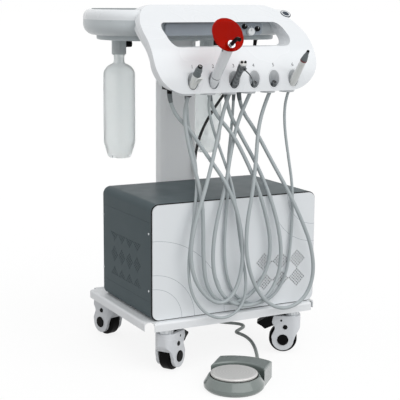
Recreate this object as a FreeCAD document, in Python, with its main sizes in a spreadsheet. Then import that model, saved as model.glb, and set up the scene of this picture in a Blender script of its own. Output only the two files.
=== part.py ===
import FreeCAD, Part

import math
import os
from types import SimpleNamespace

# Mobile dental unit: a cabinet with its own air compressor stands on a wheeled platform,
# a column behind it carries the instrument tray, and six hoses hang in front of it.
# Frame: origin on the floor under the middle of the unit, +Z up, the dentist stands at -Y,
# +X to the dentist's right. Millimetres.

Vector = FreeCAD.Vector
Rotation = FreeCAD.Rotation
Placement = FreeCAD.Placement
X_AXIS, Y_AXIS, Z_AXIS = Vector(1, 0, 0), Vector(0, 1, 0), Vector(0, 0, 1)

SIZES = {
    # platform: bent sheet with folded skirts, cut away at its corners
    "platform_width": 505.0, "platform_depth": 402.0, "platform_sheet": 2.0,
    "platform_skirt": 22.0, "platform_shift": -8.5, "platform_overhang": 17.5,
    "platform_notch": 20.0, "platform_bend": 6.0,
    # cabinet: lower pan, side panels and top cover make one sleeve, closed front and back
    "cabinet_width": 482.0, "cabinet_depth": 305.5, "cabinet_height": 300.0,
    "cabinet_radius": 20.7, "cabinet_sheet": 1.5, "cabinet_front": -97.5,
    "ground_clearance": 137.0, "pan_height": 48.0, "cover_height": 47.3, "seam_gap": 0.4,
    "front_panel_sheet": 3.5, "front_panel_inset": 2.5, "gasket_width": 14.0,
    "gasket_thick": 2.0, "back_panel_recess": 6.0,
    # vents: diamond fields of small square holes
    "vent_hole": 3.2, "vent_step": 4.4, "vent_spacing": 50.5, "vent_edge": 54.5,
    "vent_height": 121.0,
    "side_hole": 3.4, "side_step": 4.6, "side_spacing": 48.5, "side_first": 84.0,
    "side_height": 129.0, "side_row": 56.0,
    # compressor set inside the cabinet
    "motor_radius": 46.0, "motor_length": 120.0, "motor_y": -10.0, "pump_width": 60.0,
    "pump_height": 100.0, "tank_radius": 56.0, "tank_length": 300.0, "tank_y": 120.0,
    "saddle_height": 14.0, "saddle_width": 24.0,
    # column
    "column_width": 108.0, "column_depth": 56.0, "column_radius": 16.0, "column_wall": 2.5,
    "column_gap": 17.5, "column_flange": 12.0, "column_foot": 5.0,
    "bracket_height": 26.0, "bracket_sheet": 3.0, "bracket_gap": 8.0,
    # tray: boat shaped lower and upper shell, bottom cover and mat
    "tray_width": 568.0, "tray_depth": 312.0, "tray_end": 110.0, "tray_front": 41.0,
    "cover_bottom": 831.0, "cover_thick": 12.0, "cover_inset": 36.0,
    "lower_height": 41.5, "upper_height": 26.5, "lower_round": 30.0, "upper_round": 20.0,
    "tray_wall": 3.0, "mat_inset": 26.0, "mat_front": 30.0, "mat_thick": 4.0, "mat_proud": 1.5,
    "console_width": 284.0, "console_height": 31.5, "console_thick": 11.0,
    "console_bottom": 846.0, "knob_spindle": 3.0, "knob_depth": 8.0,
    # handle frame: two shells round the hand opening, with the instrument band below it
    "frame_width": 466.0, "frame_front": -108.5, "band_bottom": 709.0, "crest": 923.0,
    "crest_y": 75.0, "crest_round": 12.0, "knee_radius": 144.5, "knee_height": 21.0,
    "face_slope": 32.4, "front_shell": 16.0, "rear_shell": 18.0, "shell_gap": 0.3,
    "rear_inset": 5.5, "band_depth": 49.5, "corner_low": 85.0, "corner_high": 78.0,
    "window_width": 352.0, "window_low": 821.0, "window_high": 880.5,
    "window_corner_low": 27.0, "window_corner_high": 18.0,
    # bar behind the band, where the hoses come back
    "manifold_left": -184.0, "manifold_width": 230.0, "manifold_depth": 22.0,
    "manifold_height": 14.0, "manifold_drop": 8.0,
    # instrument holders
    "holder_pitch": 58.0, "holder_first": -133.0, "holder_height": 742.0,
    "holder_tilt": 40.0, "holder_outer": 17.5, "holder_bore": 15.5, "holder_drop": 6.0,
    "seat_gap": 0.3,
    # water bottles
    "bottle_radius": 44.0, "bottle_row": 307.5, "bottle_left": -151.0, "bottle_right": 123.0,
    "bottle_height": 309.0, "bottle_shoulder": 39.0, "bottle_neck": 14.5, "bottle_wall": 1.5,
    "neck_length": 46.0, "thread_length": 22.0, "cap_radius": 20.0, "cap_height": 44.0,
    "cap_bore_gap": 0.3, "bottle_foot": 31.0, "bottle_taper": 42.0, "dip_radius": 3.0,
    "neck_ring": 17.5, "bottle_floor": 16.0, "foot_grooves": 5.0,
    # casters
    "caster_span": 376.0, "caster_inset": 27.0, "caster_trail": 22.0,
    "wheel_radius": 37.5, "wheel_width": 30.0, "tyre_depth": 9.0,
    "axle_radius": 6.0, "axle_gap": 0.05, "hood_width": 54.0, "hood_boss": 29.0,
    "hood_round": 22.0, "hood_front": 24.7, "hood_top": 103.0, "stem_radius": 9.0,
    "stem_length": 16.0, "collar_gap": 0.5,
    "wheel_gap": 3.0, "hub_cap_radius": 15.0, "hub_cap_thick": 2.5,
    "brake_width": 30.0, "brake_pin": 3.0, "brake_reach": 93.0, "brake_x": 27.0,
    "brake_z": 91.0,
    # foot control
    "pedal_x": -103.0, "pedal_y": -277.5, "pedal_turn": -45.0, "bowl_radius": 75.0,
    "bowl_rim": 64.0, "bowl_height": 34.0, "disc_radius": 58.5, "disc_top": 42.0,
    "disc_thick": 7.0, "disc_stem": 14.0, "disc_sleeve": 4.0, "disc_travel": 6.0,
    "bowl_well": 60.0, "bowl_floor": 8.0,
    "block_half": 69.0, "block_reach": 126.0, "block_height": 43.0, "block_gap": 0.3,
    # hoses
    "hose_radius": 5.0, "thin_hose_radius": 3.75, "umbilical_radius": 4.0,
    "pedal_hose_radius": 4.7, "fitting_radius": 6.5, "stub_radius": 5.2,
    "elbow_height": 14.0, "elbow_reach": 13.5, "pedal_gland": 30.5,
    "socket_length": 9.0, "inlet_width": 48.0, "inlet_height": 27.0, "inlet_depth": 12.0,
    "inlet_x": -190.0, "inlet_z": 160.0,
    # curing light: the head is bent out of the handle's line
    "light_neck": 112.0, "light_bend": 22.0, "collar_length": 16.0, "light_collar": 10.0,
    "guide_radius": 5.0, "shield_width": 82.0, "shield_length": 88.0,
    "shield_edge": 16.0, "shield_thick": 3.0,
}

doc = FreeCAD.newDocument("dental_unit")
sheet = doc.addObject("Spreadsheet::Sheet", "Sizes")


class Size:
    """A length that carries the sheet expression it comes from."""

    def __init__(self, value, text):
        self.value, self.text = float(value), text

    def join(self, sign, other, value, other_first=False):
        text = other.text if isinstance(other, Size) else repr(float(other))
        pair = (text, sign, self.text) if other_first else (self.text, sign, text)
        return Size(value, "(%s %s %s)" % pair)

    def __add__(self, other):
        return self.join("+", other, self.value + float(other))

    def __sub__(self, other):
        return self.join("-", other, self.value - float(other))

    def __rsub__(self, other):
        return self.join("-", other, float(other) - self.value, other_first=True)

    def __mul__(self, other):
        return self.join("*", other, self.value * float(other))

    def __truediv__(self, other):
        return self.join("/", other, self.value / float(other))

    __radd__, __rmul__ = __add__, __mul__

    def __neg__(self):
        return self * -1.0

    def __float__(self):
        return self.value


def fill_sheet():
    """Write the driving dimensions into the sheet, one named cell each."""
    cells = {}
    for row, (name, value) in enumerate(SIZES.items(), start=1):
        sheet.set("A%d" % row, name)
        sheet.set("B%d" % row, repr(value))
        sheet.setAlias("B%d" % row, name)
        cells[name] = Size(value, "Sizes.%s" % name)
    doc.recompute()
    return SimpleNamespace(**cells)


S = fill_sheet()
nodes = []
made = 0


def fresh(stem):
    """A document name that is not used yet."""
    global made
    made += 1
    return "%s_%d" % (stem, made)


def bind(item, prop, size):
    """Drive one property from the sheet."""
    if isinstance(size, Size):
        item.setExpression(prop, size.text)
    else:
        setattr(item, prop, float(size))


def keep(item, label):
    """Name a finished sub-part and list it for writing."""
    item.Label = label
    nodes.append(item)
    return item


# ---------------------------------------------------------------- outlines

def rounded(corners):
    """Closed outline through (x, y, radius) corners, as lines and tangent arcs."""
    points = [Vector(float(x), float(y), 0) for x, y, _ in corners]
    count = len(points)
    starts, ends, arcs = [], [], []
    for i, (_, _, radius) in enumerate(corners):
        here, before, after = points[i], points[i - 1], points[(i + 1) % count]
        back, ahead = (before - here).normalize(), (after - here).normalize()
        half = back.getAngle(ahead) / 2
        radius = float(radius)
        if radius <= 0:
            starts.append(here)
            ends.append(here)
            arcs.append(None)
            continue
        reach = radius / math.tan(half)
        starts.append(here + back * reach)
        ends.append(here + ahead * reach)
        centre = here + (back + ahead).normalize() * (radius / math.sin(half))
        middle = centre + (here - centre).normalize() * radius
        arcs.append(Part.Arc(starts[-1], middle, ends[-1]))
    outline = []
    for i in range(count):
        if arcs[i]:
            outline.append(arcs[i])
        if ends[i].distanceToPoint(starts[(i + 1) % count]) > 1e-6:
            outline.append(Part.LineSegment(ends[i], starts[(i + 1) % count]))
    return outline


def rectangle(x, y, width, height, radius=0.0):
    """Rectangle about a centre, with one corner radius."""
    x, y, half_x, half_y = float(x), float(y), float(width) / 2, float(height) / 2
    corners = ((-1, -1), (1, -1), (1, 1), (-1, 1))
    return rounded([(x + a * half_x, y + b * half_y, radius) for a, b in corners])


def circle(x, y, radius):
    return [Part.Circle(Vector(float(x), float(y), 0), Z_AXIS, float(radius))]


def boat(inset, front=0.0):
    """Tray outline: straight long sides closed by two half ellipses, drawn inset."""
    inset, front = float(inset), float(front)
    half_y = (S.tray_depth.value - front) / 2 - inset
    end = S.tray_end.value - inset
    centre_x = S.tray_width.value / 2 - S.tray_end.value
    centre_y = S.tray_front.value + (S.tray_depth.value + front) / 2
    outline = []
    for side, first, last in ((1, math.pi, 2 * math.pi), (-1, 0.0, math.pi)):
        centre = Vector(side * centre_x, centre_y, 0)
        ellipse = Part.Ellipse(centre + Y_AXIS * half_y, centre - X_AXIS * end, centre)
        outline.append(Part.ArcOfEllipse(ellipse, first, last))
        outline.append(Part.LineSegment(Vector(side * centre_x, centre_y + half_y * side, 0),
                                        Vector(-side * centre_x, centre_y + half_y * side, 0)))
    return outline


# ---------------------------------------------------------------- features

def body(name):
    return doc.addObject("PartDesign::Body", fresh(name))


def sketch(owner, plane, outlines, offset=0.0):
    """Sketch on one of the body's own planes, moved along the plane's normal."""
    item = owner.newObject("Sketcher::SketchObject", fresh("Sketch"))
    support = next(f for f in owner.Origin.OriginFeatures if f.Role == plane)
    item.AttachmentSupport = [(support, "")]
    item.MapMode = "FlatFace"
    if isinstance(offset, Size):
        bind(item, "AttachmentOffset.Base.z", offset)
    else:
        item.AttachmentOffset = Placement(Vector(0, 0, offset), Rotation())
    for outline in outlines:
        item.addGeometry(outline, False)
    return item


def pad(owner, plane, outlines, length, offset=0.0, both=False, back=False):
    """Pad a sketch by a bound length."""
    item = owner.newObject("PartDesign::Pad", fresh("Pad"))
    item.Profile = sketch(owner, plane, outlines, offset)
    bind(item, "Length", length)
    item.Midplane = both
    item.Reversed = back
    return item


def pocket(owner, plane, outlines, length, offset=0.0, both=False, back=False):
    """Cut a sketch to a bound depth."""
    item = owner.newObject("PartDesign::Pocket", fresh("Pocket"))
    item.Profile = sketch(owner, plane, outlines, offset)
    bind(item, "Length", length)
    item.Midplane = both
    item.Reversed = back
    return item


def spin(owner, corners, cut=False):
    """Turned shape about the body's Z axis from a half profile of (radius, height, round)."""
    kind = "PartDesign::Groove" if cut else "PartDesign::Revolution"
    item = owner.newObject(kind, fresh("Turned"))
    profile = sketch(owner, "XZ_Plane", [rounded(corners)])
    item.Profile = profile
    item.ReferenceAxis = (profile, ["V_Axis"])
    item.Angle = 360.0
    return item


def turned(name, corners):
    """A body made by one revolution."""
    owner = body(name)
    spin(owner, corners)
    return owner


def fillet(owner, radius, wanted):
    """Round the edges of the body's last feature that pass the test."""
    doc.recompute()
    base = owner.Tip
    names = ["Edge%d" % i for i, edge in enumerate(base.Shape.Edges, start=1) if wanted(edge)]
    item = owner.newObject("PartDesign::Fillet", fresh("Fillet"))
    item.Base = (base, names)
    bind(item, "Radius", radius)
    return item


def at_height(z):
    """Test for edges that lie wholly at one height."""
    return lambda edge: (abs(edge.BoundBox.ZMin - float(z)) < 1e-3
                         and abs(edge.BoundBox.ZMax - float(z)) < 1e-3)


def rod(radius, length, base, axis=Z_AXIS):
    """Cylinder primitive bound to the sheet."""
    item = doc.addObject("Part::Cylinder", fresh("Rod"))
    bind(item, "Radius", radius)
    bind(item, "Height", length)
    item.Placement = Placement(base, Rotation(Z_AXIS, axis))
    return item


def block(length, width, height, base):
    """Box primitive bound to the sheet."""
    item = doc.addObject("Part::Box", fresh("Block"))
    for prop, size in (("Length", length), ("Width", width), ("Height", height)):
        bind(item, prop, size)
    item.Placement = Placement(base, Rotation())
    return item


def fuse(items):
    item = doc.addObject("Part::MultiFuse", fresh("Fuse"))
    item.Shapes = items
    return item


def cut(base, tools):
    item = doc.addObject("Part::Cut", fresh("Cut"))
    item.Base = base
    item.Tool = tools if not isinstance(tools, list) else group(tools)
    return item


def common(base, tool):
    item = doc.addObject("Part::Common", fresh("Common"))
    item.Base, item.Tool = base, tool
    return item


def group(items):
    """Separate solids that share one node."""
    item = doc.addObject("Part::Compound", fresh("Group"))
    item.Links = items
    return item


def point(x, y, z):
    return Vector(float(x), float(y), float(z))


# ---------------------------------------------------------------- platform

platform_front = S.cabinet_front - S.platform_overhang
platform_y = platform_front + S.platform_depth / 2
deck = S.ground_clearance
cabinet_back = S.cabinet_front + S.front_panel_sheet + S.gasket_thick + S.cabinet_depth


def make_platform():
    """Folded sheet: deck, four skirts and a notch at each corner between the skirts."""
    item = body("Platform")
    outline = rectangle(S.platform_shift, platform_y, S.platform_width, S.platform_depth,
                        S.platform_bend)
    pad(item, "XY_Plane", [outline], S.platform_skirt, deck - S.platform_skirt)
    fillet(item, S.platform_bend, at_height(deck))
    inner = rectangle(S.platform_shift, platform_y, S.platform_width - S.platform_sheet * 2,
                      S.platform_depth - S.platform_sheet * 2,
                      S.platform_bend - S.platform_sheet)
    pocket(item, "XY_Plane", [inner], S.platform_skirt - S.platform_bend,
           deck - S.platform_skirt, back=True)
    room = S.platform_bend * 2
    middle = rectangle(S.platform_shift, platform_y, S.platform_width - room,
                       S.platform_depth - room, S.platform_sheet)
    pocket(item, "XY_Plane", [middle], S.platform_skirt - S.platform_sheet,
           deck - S.platform_skirt, back=True)
    notches = []
    for side in (-1, 1):
        for end in (-1, 1):
            x = S.platform_shift.value + side * S.platform_width.value / 2
            y = platform_y.value + end * S.platform_depth.value / 2
            notches.append(rectangle(x, y, S.platform_notch * 2, S.platform_notch * 2))
    pocket(item, "XY_Plane", notches, S.platform_skirt, deck - S.platform_skirt, back=True)
    return keep(item, "platform")


# ---------------------------------------------------------------- cabinet

cabinet_top = deck + S.cabinet_height
sleeve_front = S.cabinet_front + S.front_panel_sheet + S.gasket_thick


def u_section(low, high, round_low, round_high):
    """Section of the cabinet sleeve between two heights; a rounded end is closed."""
    half, wall = S.cabinet_width.value / 2, S.cabinet_sheet.value
    low, high = float(low), float(high)
    radius = S.cabinet_radius.value
    if round_low:
        return rounded([(-half, high, 0), (-half, low, radius), (half, low, radius),
                        (half, high, 0), (half - wall, high, 0),
                        (half - wall, low + wall, radius - wall),
                        (-half + wall, low + wall, radius - wall), (-half + wall, high, 0)])
    return rounded([(-half, low, 0), (-half, high, radius), (half, high, radius),
                    (half, low, 0), (half - wall, low, 0),
                    (half - wall, high - wall, radius - wall),
                    (-half + wall, high - wall, radius - wall), (-half + wall, low, 0)])


def make_sleeve():
    """Lower pan and top cover, bent sheets that run from front to back."""
    pan = body("Pan")
    pad(pan, "XZ_Plane", [u_section(deck, deck + S.pan_height, True, False)],
        S.cabinet_depth, -sleeve_front, back=True)
    keep(pan, "cabinet_base")
    cover = body("Cover")
    pad(cover, "XZ_Plane", [u_section(cabinet_top - S.cover_height, cabinet_top, False, True)],
        S.cabinet_depth, -sleeve_front, back=True)
    keep(cover, "cabinet_cover")


def vent_field(x, y, hole, step, holes, side=0):
    """Diamond field of square holes set on edge; side keeps one half, above or below."""
    half = float(hole) * math.sqrt(0.5)
    outlines = []
    for row in range(1 - holes, holes):
        if row * side < 0:
            continue
        for n in range(holes - abs(row)):
            cx = x + (2 * n - holes + 1 + abs(row)) * float(step)
            cy = y + row * float(step)
            outlines.append(rounded([(cx - half, cy, 0), (cx, cy - half, 0),
                                     (cx + half, cy, 0), (cx, cy + half, 0)]))
    return outlines


def side_vent_outlines():
    """Four full diamond fields in a row, with the halves of further ones above and below."""
    columns, holes = 4, 5
    middle_z = deck.value + S.side_height.value
    outlines = []
    for column in range(columns):
        y = sleeve_front.value + S.side_first.value + column * S.side_spacing.value
        outlines += vent_field(y, middle_z, S.side_hole, S.side_step, holes)
        for side in (-1, 1):
            outlines += vent_field(y, middle_z + side * S.side_row.value, S.side_hole,
                                   S.side_step, holes, -side)
    return outlines


def make_side_panels():
    """Two flat ventilated sheets between pan and cover."""
    low, high = deck + S.pan_height + S.seam_gap, cabinet_top - S.cover_height - S.seam_gap
    height, length = high - low, S.cabinet_depth
    panels = []
    for side in (-1, 1):
        panel = body("SidePanel")
        outline = rectangle(sleeve_front + length / 2, low + height / 2, length, height)
        outer = S.cabinet_width / 2 * side
        pad(panel, "YZ_Plane", [outline], S.cabinet_sheet, outer, back=side > 0)
        pocket(panel, "YZ_Plane", side_vent_outlines(), S.cabinet_sheet, outer, back=side < 0)
        panels.append(panel)
    keep(group(panels), "side_panels")


def front_vent_outlines():
    """Six diamond fields, three across and two down, near the right hand edge."""
    across, down, holes = 3, 2, 6
    spacing = S.vent_spacing.value
    last_x = S.cabinet_width.value / 2 - S.vent_edge.value
    top_z = deck.value + S.vent_height.value
    outlines = []
    for column in range(across):
        for row in range(down):
            outlines += vent_field(last_x - column * spacing, top_z - row * spacing,
                                   S.vent_hole, S.vent_step, holes)
    return outlines


def make_front():
    """Front panel on a black gasket, which shows as a dark line round it."""
    width, height, inset = S.cabinet_width, S.cabinet_height, S.front_panel_inset
    middle = deck + height / 2
    gasket = body("Gasket")
    rim = S.gasket_width * 2
    pad(gasket, "XZ_Plane", [rectangle(0, middle, width, height, S.cabinet_radius),
                             rectangle(0, middle, width - rim, height - rim,
                                       S.cabinet_radius - S.gasket_width + inset)],
        S.gasket_thick, -(S.cabinet_front + S.front_panel_sheet), back=True)
    keep(gasket, "front_gasket")
    panel = body("FrontPanel")
    pad(panel, "XZ_Plane", [rectangle(0, middle, width - inset * 2, height - inset * 2,
                                      S.cabinet_radius - inset)],
        S.front_panel_sheet, -S.cabinet_front, back=True)
    pocket(panel, "XZ_Plane", front_vent_outlines(), S.front_panel_sheet, -S.cabinet_front)
    keep(panel, "front_panel")


def make_back():
    """Back panel set inside the rear of the sleeve."""
    wall = S.cabinet_sheet
    panel = body("BackPanel")
    pad(panel, "XZ_Plane",
        [rectangle(0, deck + S.cabinet_height / 2, S.cabinet_width - wall * 2,
                   S.cabinet_height - wall * 2, S.cabinet_radius - wall)],
        wall, -(cabinet_back - S.back_panel_recess))
    keep(panel, "back_panel")


floor_inside = deck + S.cabinet_sheet


def make_compressor():
    """Motor with a pump at each end on two feet, and the air tank on two saddles."""
    axis_z = floor_inside + S.saddle_height + S.motor_radius
    x = S.cabinet_width / 2 * -0.45
    motor_y = S.motor_y.value
    motor = rod(S.motor_radius, S.motor_length,
                point(x - S.motor_length / 2, motor_y, axis_z), X_AXIS)
    pumps = []
    for side in (-1, 1):
        start = x.value + side * S.motor_length.value / 2 - S.pump_width.value / 2
        pumps.append(block(S.pump_width, S.pump_width, S.pump_height,
                           point(start, motor_y - S.pump_width.value / 2,
                                 axis_z.value - S.motor_radius.value / 2)))
        pumps.append(block(S.saddle_width, S.motor_radius * 2, S.saddle_height + S.motor_radius,
                           point(start + S.pump_width.value / 2 - S.saddle_width.value / 2,
                                 motor_y - S.motor_radius.value, floor_inside)))
    keep(fuse([motor] + pumps), "compressor")
    tank_z = floor_inside + S.saddle_height + S.tank_radius
    tank_y, tank_x = S.tank_y.value, -S.tank_length.value / 2
    tank = body("Tank")
    length, radius = S.tank_length.value, S.tank_radius.value
    spin(tank, [(0, 0, 0), (radius, 0, radius * 0.6), (radius, length, radius * 0.6),
                (0, length, 0)])
    tank.Placement = Placement(point(tank_x, tank_y, tank_z), Rotation(Z_AXIS, X_AXIS))
    saddles = [block(S.saddle_width, S.tank_radius * 1.2, S.saddle_height + S.tank_radius,
                     point(tank_x + share * length, tank_y - radius * 0.6, floor_inside))
               for share in (0.2, 0.72)]
    keep(fuse([tank] + saddles), "air_tank")


# ---------------------------------------------------------------- column

column_y = cabinet_back + S.column_gap + S.column_depth / 2
column_top = S.cover_bottom - S.bracket_gap


def make_column():
    """Hollow column with a foot flange on the platform."""
    item = body("Column")
    wall = S.column_wall * 2
    pad(item, "XY_Plane", [rectangle(0, column_y, S.column_width + S.column_flange,
                                     S.column_depth + S.column_flange / 2, S.column_radius)],
        S.column_foot, deck)
    pad(item, "XY_Plane", [rectangle(0, column_y, S.column_width, S.column_depth,
                                     S.column_radius)], column_top - deck, deck)
    pocket(item, "XY_Plane", [rectangle(0, column_y, S.column_width - wall,
                                        S.column_depth - wall,
                                        S.column_radius - S.column_wall)],
           column_top - deck, deck, back=True)
    return keep(item, "column")


def make_bracket():
    """Bracket between column and tray: a head plate with two cheeks in front of the column."""
    item = body("Bracket")
    sheet_thick, height = S.bracket_sheet, S.bracket_height
    pad(item, "XY_Plane", [rectangle(0, column_y, S.column_width + S.column_flange,
                                     S.column_depth + S.column_flange, S.column_radius)],
        S.bracket_gap, column_top)
    cheeks = []
    for side in (-1, 1):
        cheeks.append(rectangle(side * (S.column_width.value / 2 - S.column_radius.value),
                                column_y - S.column_depth / 2 - sheet_thick * 2.0
                                - S.seam_gap, sheet_thick * 2, sheet_thick * 4))
    pad(item, "XY_Plane", cheeks, height + S.bracket_gap, S.cover_bottom - height
        - S.bracket_gap)
    plate = rectangle(0, column_y - S.column_depth / 2 - sheet_thick * 1.5 - S.seam_gap,
                      S.column_width - S.column_radius, sheet_thick * 3)
    pad(item, "XY_Plane", [plate], S.bracket_gap, column_top)
    return keep(item, "column_bracket")


# ---------------------------------------------------------------- tray

lower_bottom = S.cover_bottom + S.cover_thick
upper_bottom = lower_bottom + S.lower_height
tray_top = upper_bottom + S.upper_height


def bulge(radius, height):
    """How far a rounded edge stands back from the wall at a height above its foot."""
    radius, height = float(radius), float(height)
    return radius - math.sqrt(radius ** 2 - (radius - height) ** 2)


def make_tray():
    """Bottom cover, bulging lower shell, upper shell with a sunk deck, and the mat."""
    wall = S.tray_wall
    plate = body("TrayCover")
    pad(plate, "XY_Plane", [boat(S.cover_inset)], S.cover_thick, S.cover_bottom)
    fillet(plate, S.cover_thick / 3, at_height(S.cover_bottom))
    keep(plate, "tray_bottom_plate")
    lower = body("TrayLower")
    pad(lower, "XY_Plane", [boat(0)], S.lower_height, lower_bottom)
    fillet(lower, S.lower_round, at_height(lower_bottom))
    for height in (wall, S.lower_round * 0.4, S.lower_round):
        pocket(lower, "XY_Plane", [boat(bulge(S.lower_round, height) + wall)],
               S.lower_height - height, lower_bottom + height, back=True)
    keep(lower, "tray_lower_shell")
    upper = body("TrayUpper")
    pad(upper, "XY_Plane", [boat(0)], S.upper_height, upper_bottom)
    fillet(upper, S.upper_round, at_height(tray_top))
    deck_sheet = wall + S.mat_thick - S.mat_proud
    for height in (deck_sheet, S.upper_round * 0.5, S.upper_round):
        pocket(upper, "XY_Plane", [boat(bulge(S.upper_round, height) + wall)],
               S.upper_height - height, upper_bottom, back=True)
    pocket(upper, "XY_Plane", [boat(S.mat_inset, S.mat_front)],
           S.mat_thick - S.mat_proud, tray_top)
    keep(upper, "tray_upper_shell")
    mat = body("Mat")
    pad(mat, "XY_Plane", [boat(S.mat_inset + S.seat_gap, S.mat_front)], S.mat_thick,
        tray_top - S.mat_thick + S.mat_proud)
    keep(mat, "tray_mat")


# radius, length, x and height of each knob
KNOBS = {"knob_water": (11.0, 9.0, 106.0, 855.0), "knob_air": (7.0, 8.0, 127.0, 862.0),
         "knob_cooling": (7.0, 8.0, 88.0, 868.0)}


def make_console():
    """Control panel on the front wall of the tray, with three knobs on short spindles."""
    front = S.tray_front - S.console_thick
    panel = body("Console")
    pad(panel, "XZ_Plane", [rectangle(0, S.console_bottom + S.console_height / 2,
                                      S.console_width, S.console_height, 8)],
        S.console_thick, -front, back=True)
    keep(panel, "control_panel")
    spindle, depth = S.knob_spindle.value, S.knob_depth.value
    bores = [circle(x, z, spindle + S.axle_gap.value) for _, _, x, z in KNOBS.values()]
    pocket(panel, "XZ_Plane", bores, S.knob_depth + S.seat_gap, -front)
    for name, (radius, length, x, z) in KNOBS.items():
        knob = turned(name, [(0, -depth, 0), (spindle, -depth, 0), (spindle, 0, 0),
                             (radius, 0, 0), (radius - 0.8, length, 1.5), (0, length, 0)])
        grips = 8
        cuts = []
        for n in range(grips):
            turn = 2 * math.pi * n / grips
            cuts.append(circle(radius * 1.12 * math.cos(turn), radius * 1.12 * math.sin(turn),
                               radius * 0.2))
        pocket(knob, "XY_Plane", cuts, length, back=True)
        knob.Placement = Placement(point(x, front - S.seat_gap, z), Rotation(Z_AXIS, -Y_AXIS))
        keep(knob, name)


# ---------------------------------------------------------------- handle frame

slope = math.radians(S.face_slope.value)
knee_z = S.band_bottom + S.knee_height
knee_y = S.frame_front + S.knee_radius


def face_point(depth, y):
    """Height of the sloping face, moved inwards by a depth, at one y."""
    angle = math.pi / 2 + slope
    radius = S.knee_radius.value - depth
    start = (knee_y.value + radius * math.cos(angle), knee_z.value + radius * math.sin(angle))
    return start[1] + (y - start[0]) * math.tan(slope)


def face_line(depth, low, y_end):
    """Outline part from the band up round the knee and along the slope to y_end."""
    centre = Vector(knee_y.value, knee_z.value, 0)
    radius = S.knee_radius.value - depth
    turn = math.pi / 2 - slope
    arc_points = [centre + Vector(math.cos(math.pi - turn * share),
                                  math.sin(math.pi - turn * share), 0) * radius
                  for share in (0, 0.5, 1)]
    bottom = Vector(arc_points[0].x, low, 0)
    top = Vector(y_end, face_point(depth, y_end), 0)
    return [Part.LineSegment(bottom, arc_points[0]), Part.Arc(*arc_points),
            Part.LineSegment(arc_points[2], top)]


def band_line(depth, low, y_end):
    """The inner face line with the deeper band below it."""
    line = face_line(depth, low, y_end)
    band_y = S.frame_front.value + S.band_depth.value
    radius = S.knee_radius.value - depth
    meet = math.acos((knee_y.value - band_y) / radius)
    finish = math.pi / 2 - slope
    centre = Vector(knee_y.value, knee_z.value, 0)
    arc_points = [centre + Vector(-math.cos(turn), math.sin(turn), 0) * radius
                  for turn in (meet, (meet + finish) / 2, finish)]
    return [Part.LineSegment(Vector(band_y, low, 0), arc_points[0]), Part.Arc(*arc_points),
            line[2]]


def slab(depth_front, depth_back, low, band=False):
    """Side outline between two depths under the face, resting on the tray's front edge."""
    gap = S.seat_gap.value
    rest_z, rest_y = tray_top.value + gap, S.tray_front.value - gap
    front = face_line(depth_front, low, S.crest_y.value)
    back = (band_line if band else face_line)(depth_back, low, rest_y)
    top = front[-1].EndPoint
    if depth_front == 0:
        tip = Vector(S.crest_y.value + S.crest_round.value * 1.6, rest_z, 0)
        middle = Vector(S.crest_y.value + S.crest_round.value * 1.15,
                        (top.y + rest_z) / 2 + 2.0, 0)
        cap = [Part.Arc(top, middle, tip)]
        # the underside follows the rounded front edge of the tray
        radius = S.upper_round.value + gap
        centre = Vector(rest_y + radius, rest_z - radius, 0)
        lean = centre + Vector(-1, 1, 0).normalize() * radius
        level, upright = centre + Y_AXIS * radius, centre - X_AXIS * radius
        cap += [Part.LineSegment(tip, level), Part.Arc(level, lean, upright),
                Part.LineSegment(upright, back[-1].EndPoint)]
    else:
        front = face_line(depth_front, low, rest_y)
        cap = [Part.LineSegment(front[-1].EndPoint, back[-1].EndPoint)]
    foot = Part.LineSegment(back[0].StartPoint, front[0].StartPoint)
    return front + cap + back + [foot]


def frame_outline(inset):
    """Front outline of the handle frame, wider at the bottom corners' round."""
    half = S.frame_width.value / 2 - inset
    low, high = S.band_bottom.value, S.crest.value + 1.0 - inset
    return rounded([(-half, low, S.corner_low.value), (half, low, S.corner_low.value),
                    (half, high, S.corner_high.value), (-half, high, S.corner_high.value)])


def window_outline(grow=0.0):
    """The hand opening."""
    half = S.window_width.value / 2 + grow
    low, high = S.window_low.value - grow, S.window_high.value + grow
    return rounded([(-half, low, S.window_corner_low), (half, low, S.window_corner_low),
                    (half, high, S.window_corner_high), (-half, high, S.window_corner_high)])


def holder_axis():
    tilt = math.radians(S.holder_tilt.value)
    return Vector(0, -math.sin(tilt), math.cos(tilt))


HOLDERS = 6


def holder_point(index, along=0.0, lean=0.0):
    """Point on a holder's axis, counted from the face; lean moves it to the lower wall."""
    tilt = math.radians(S.holder_tilt.value)
    down = Vector(0, -math.cos(tilt), -math.sin(tilt))
    start = point(S.holder_first + S.holder_pitch * index, S.frame_front + 0.5,
                  S.holder_height)
    return start + holder_axis() * along + down * lean


def holder_rods(radius, clearance=0.0):
    """One rod through the band at each holder."""
    through = 160.0
    return [rod(radius + clearance, through, holder_point(n, -through / 2), holder_axis())
            for n in range(HOLDERS)]


def make_frame_shell(name, depth_front, depth_back, inset, band):
    """One shell of the handle frame: side outline across, trimmed by the front outline."""
    item = body(name)
    span = S.frame_width + 20
    pad(item, "YZ_Plane", [slab(depth_front, depth_back, S.band_bottom.value, band)], span,
        both=True)
    reach = S.frame_width * 2
    outside = rectangle(0, S.band_bottom.value, reach, reach)
    pocket(item, "XZ_Plane", [outside, frame_outline(inset)], reach, both=True)
    pocket(item, "XZ_Plane", [window_outline()], reach, both=True)
    return item


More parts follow.
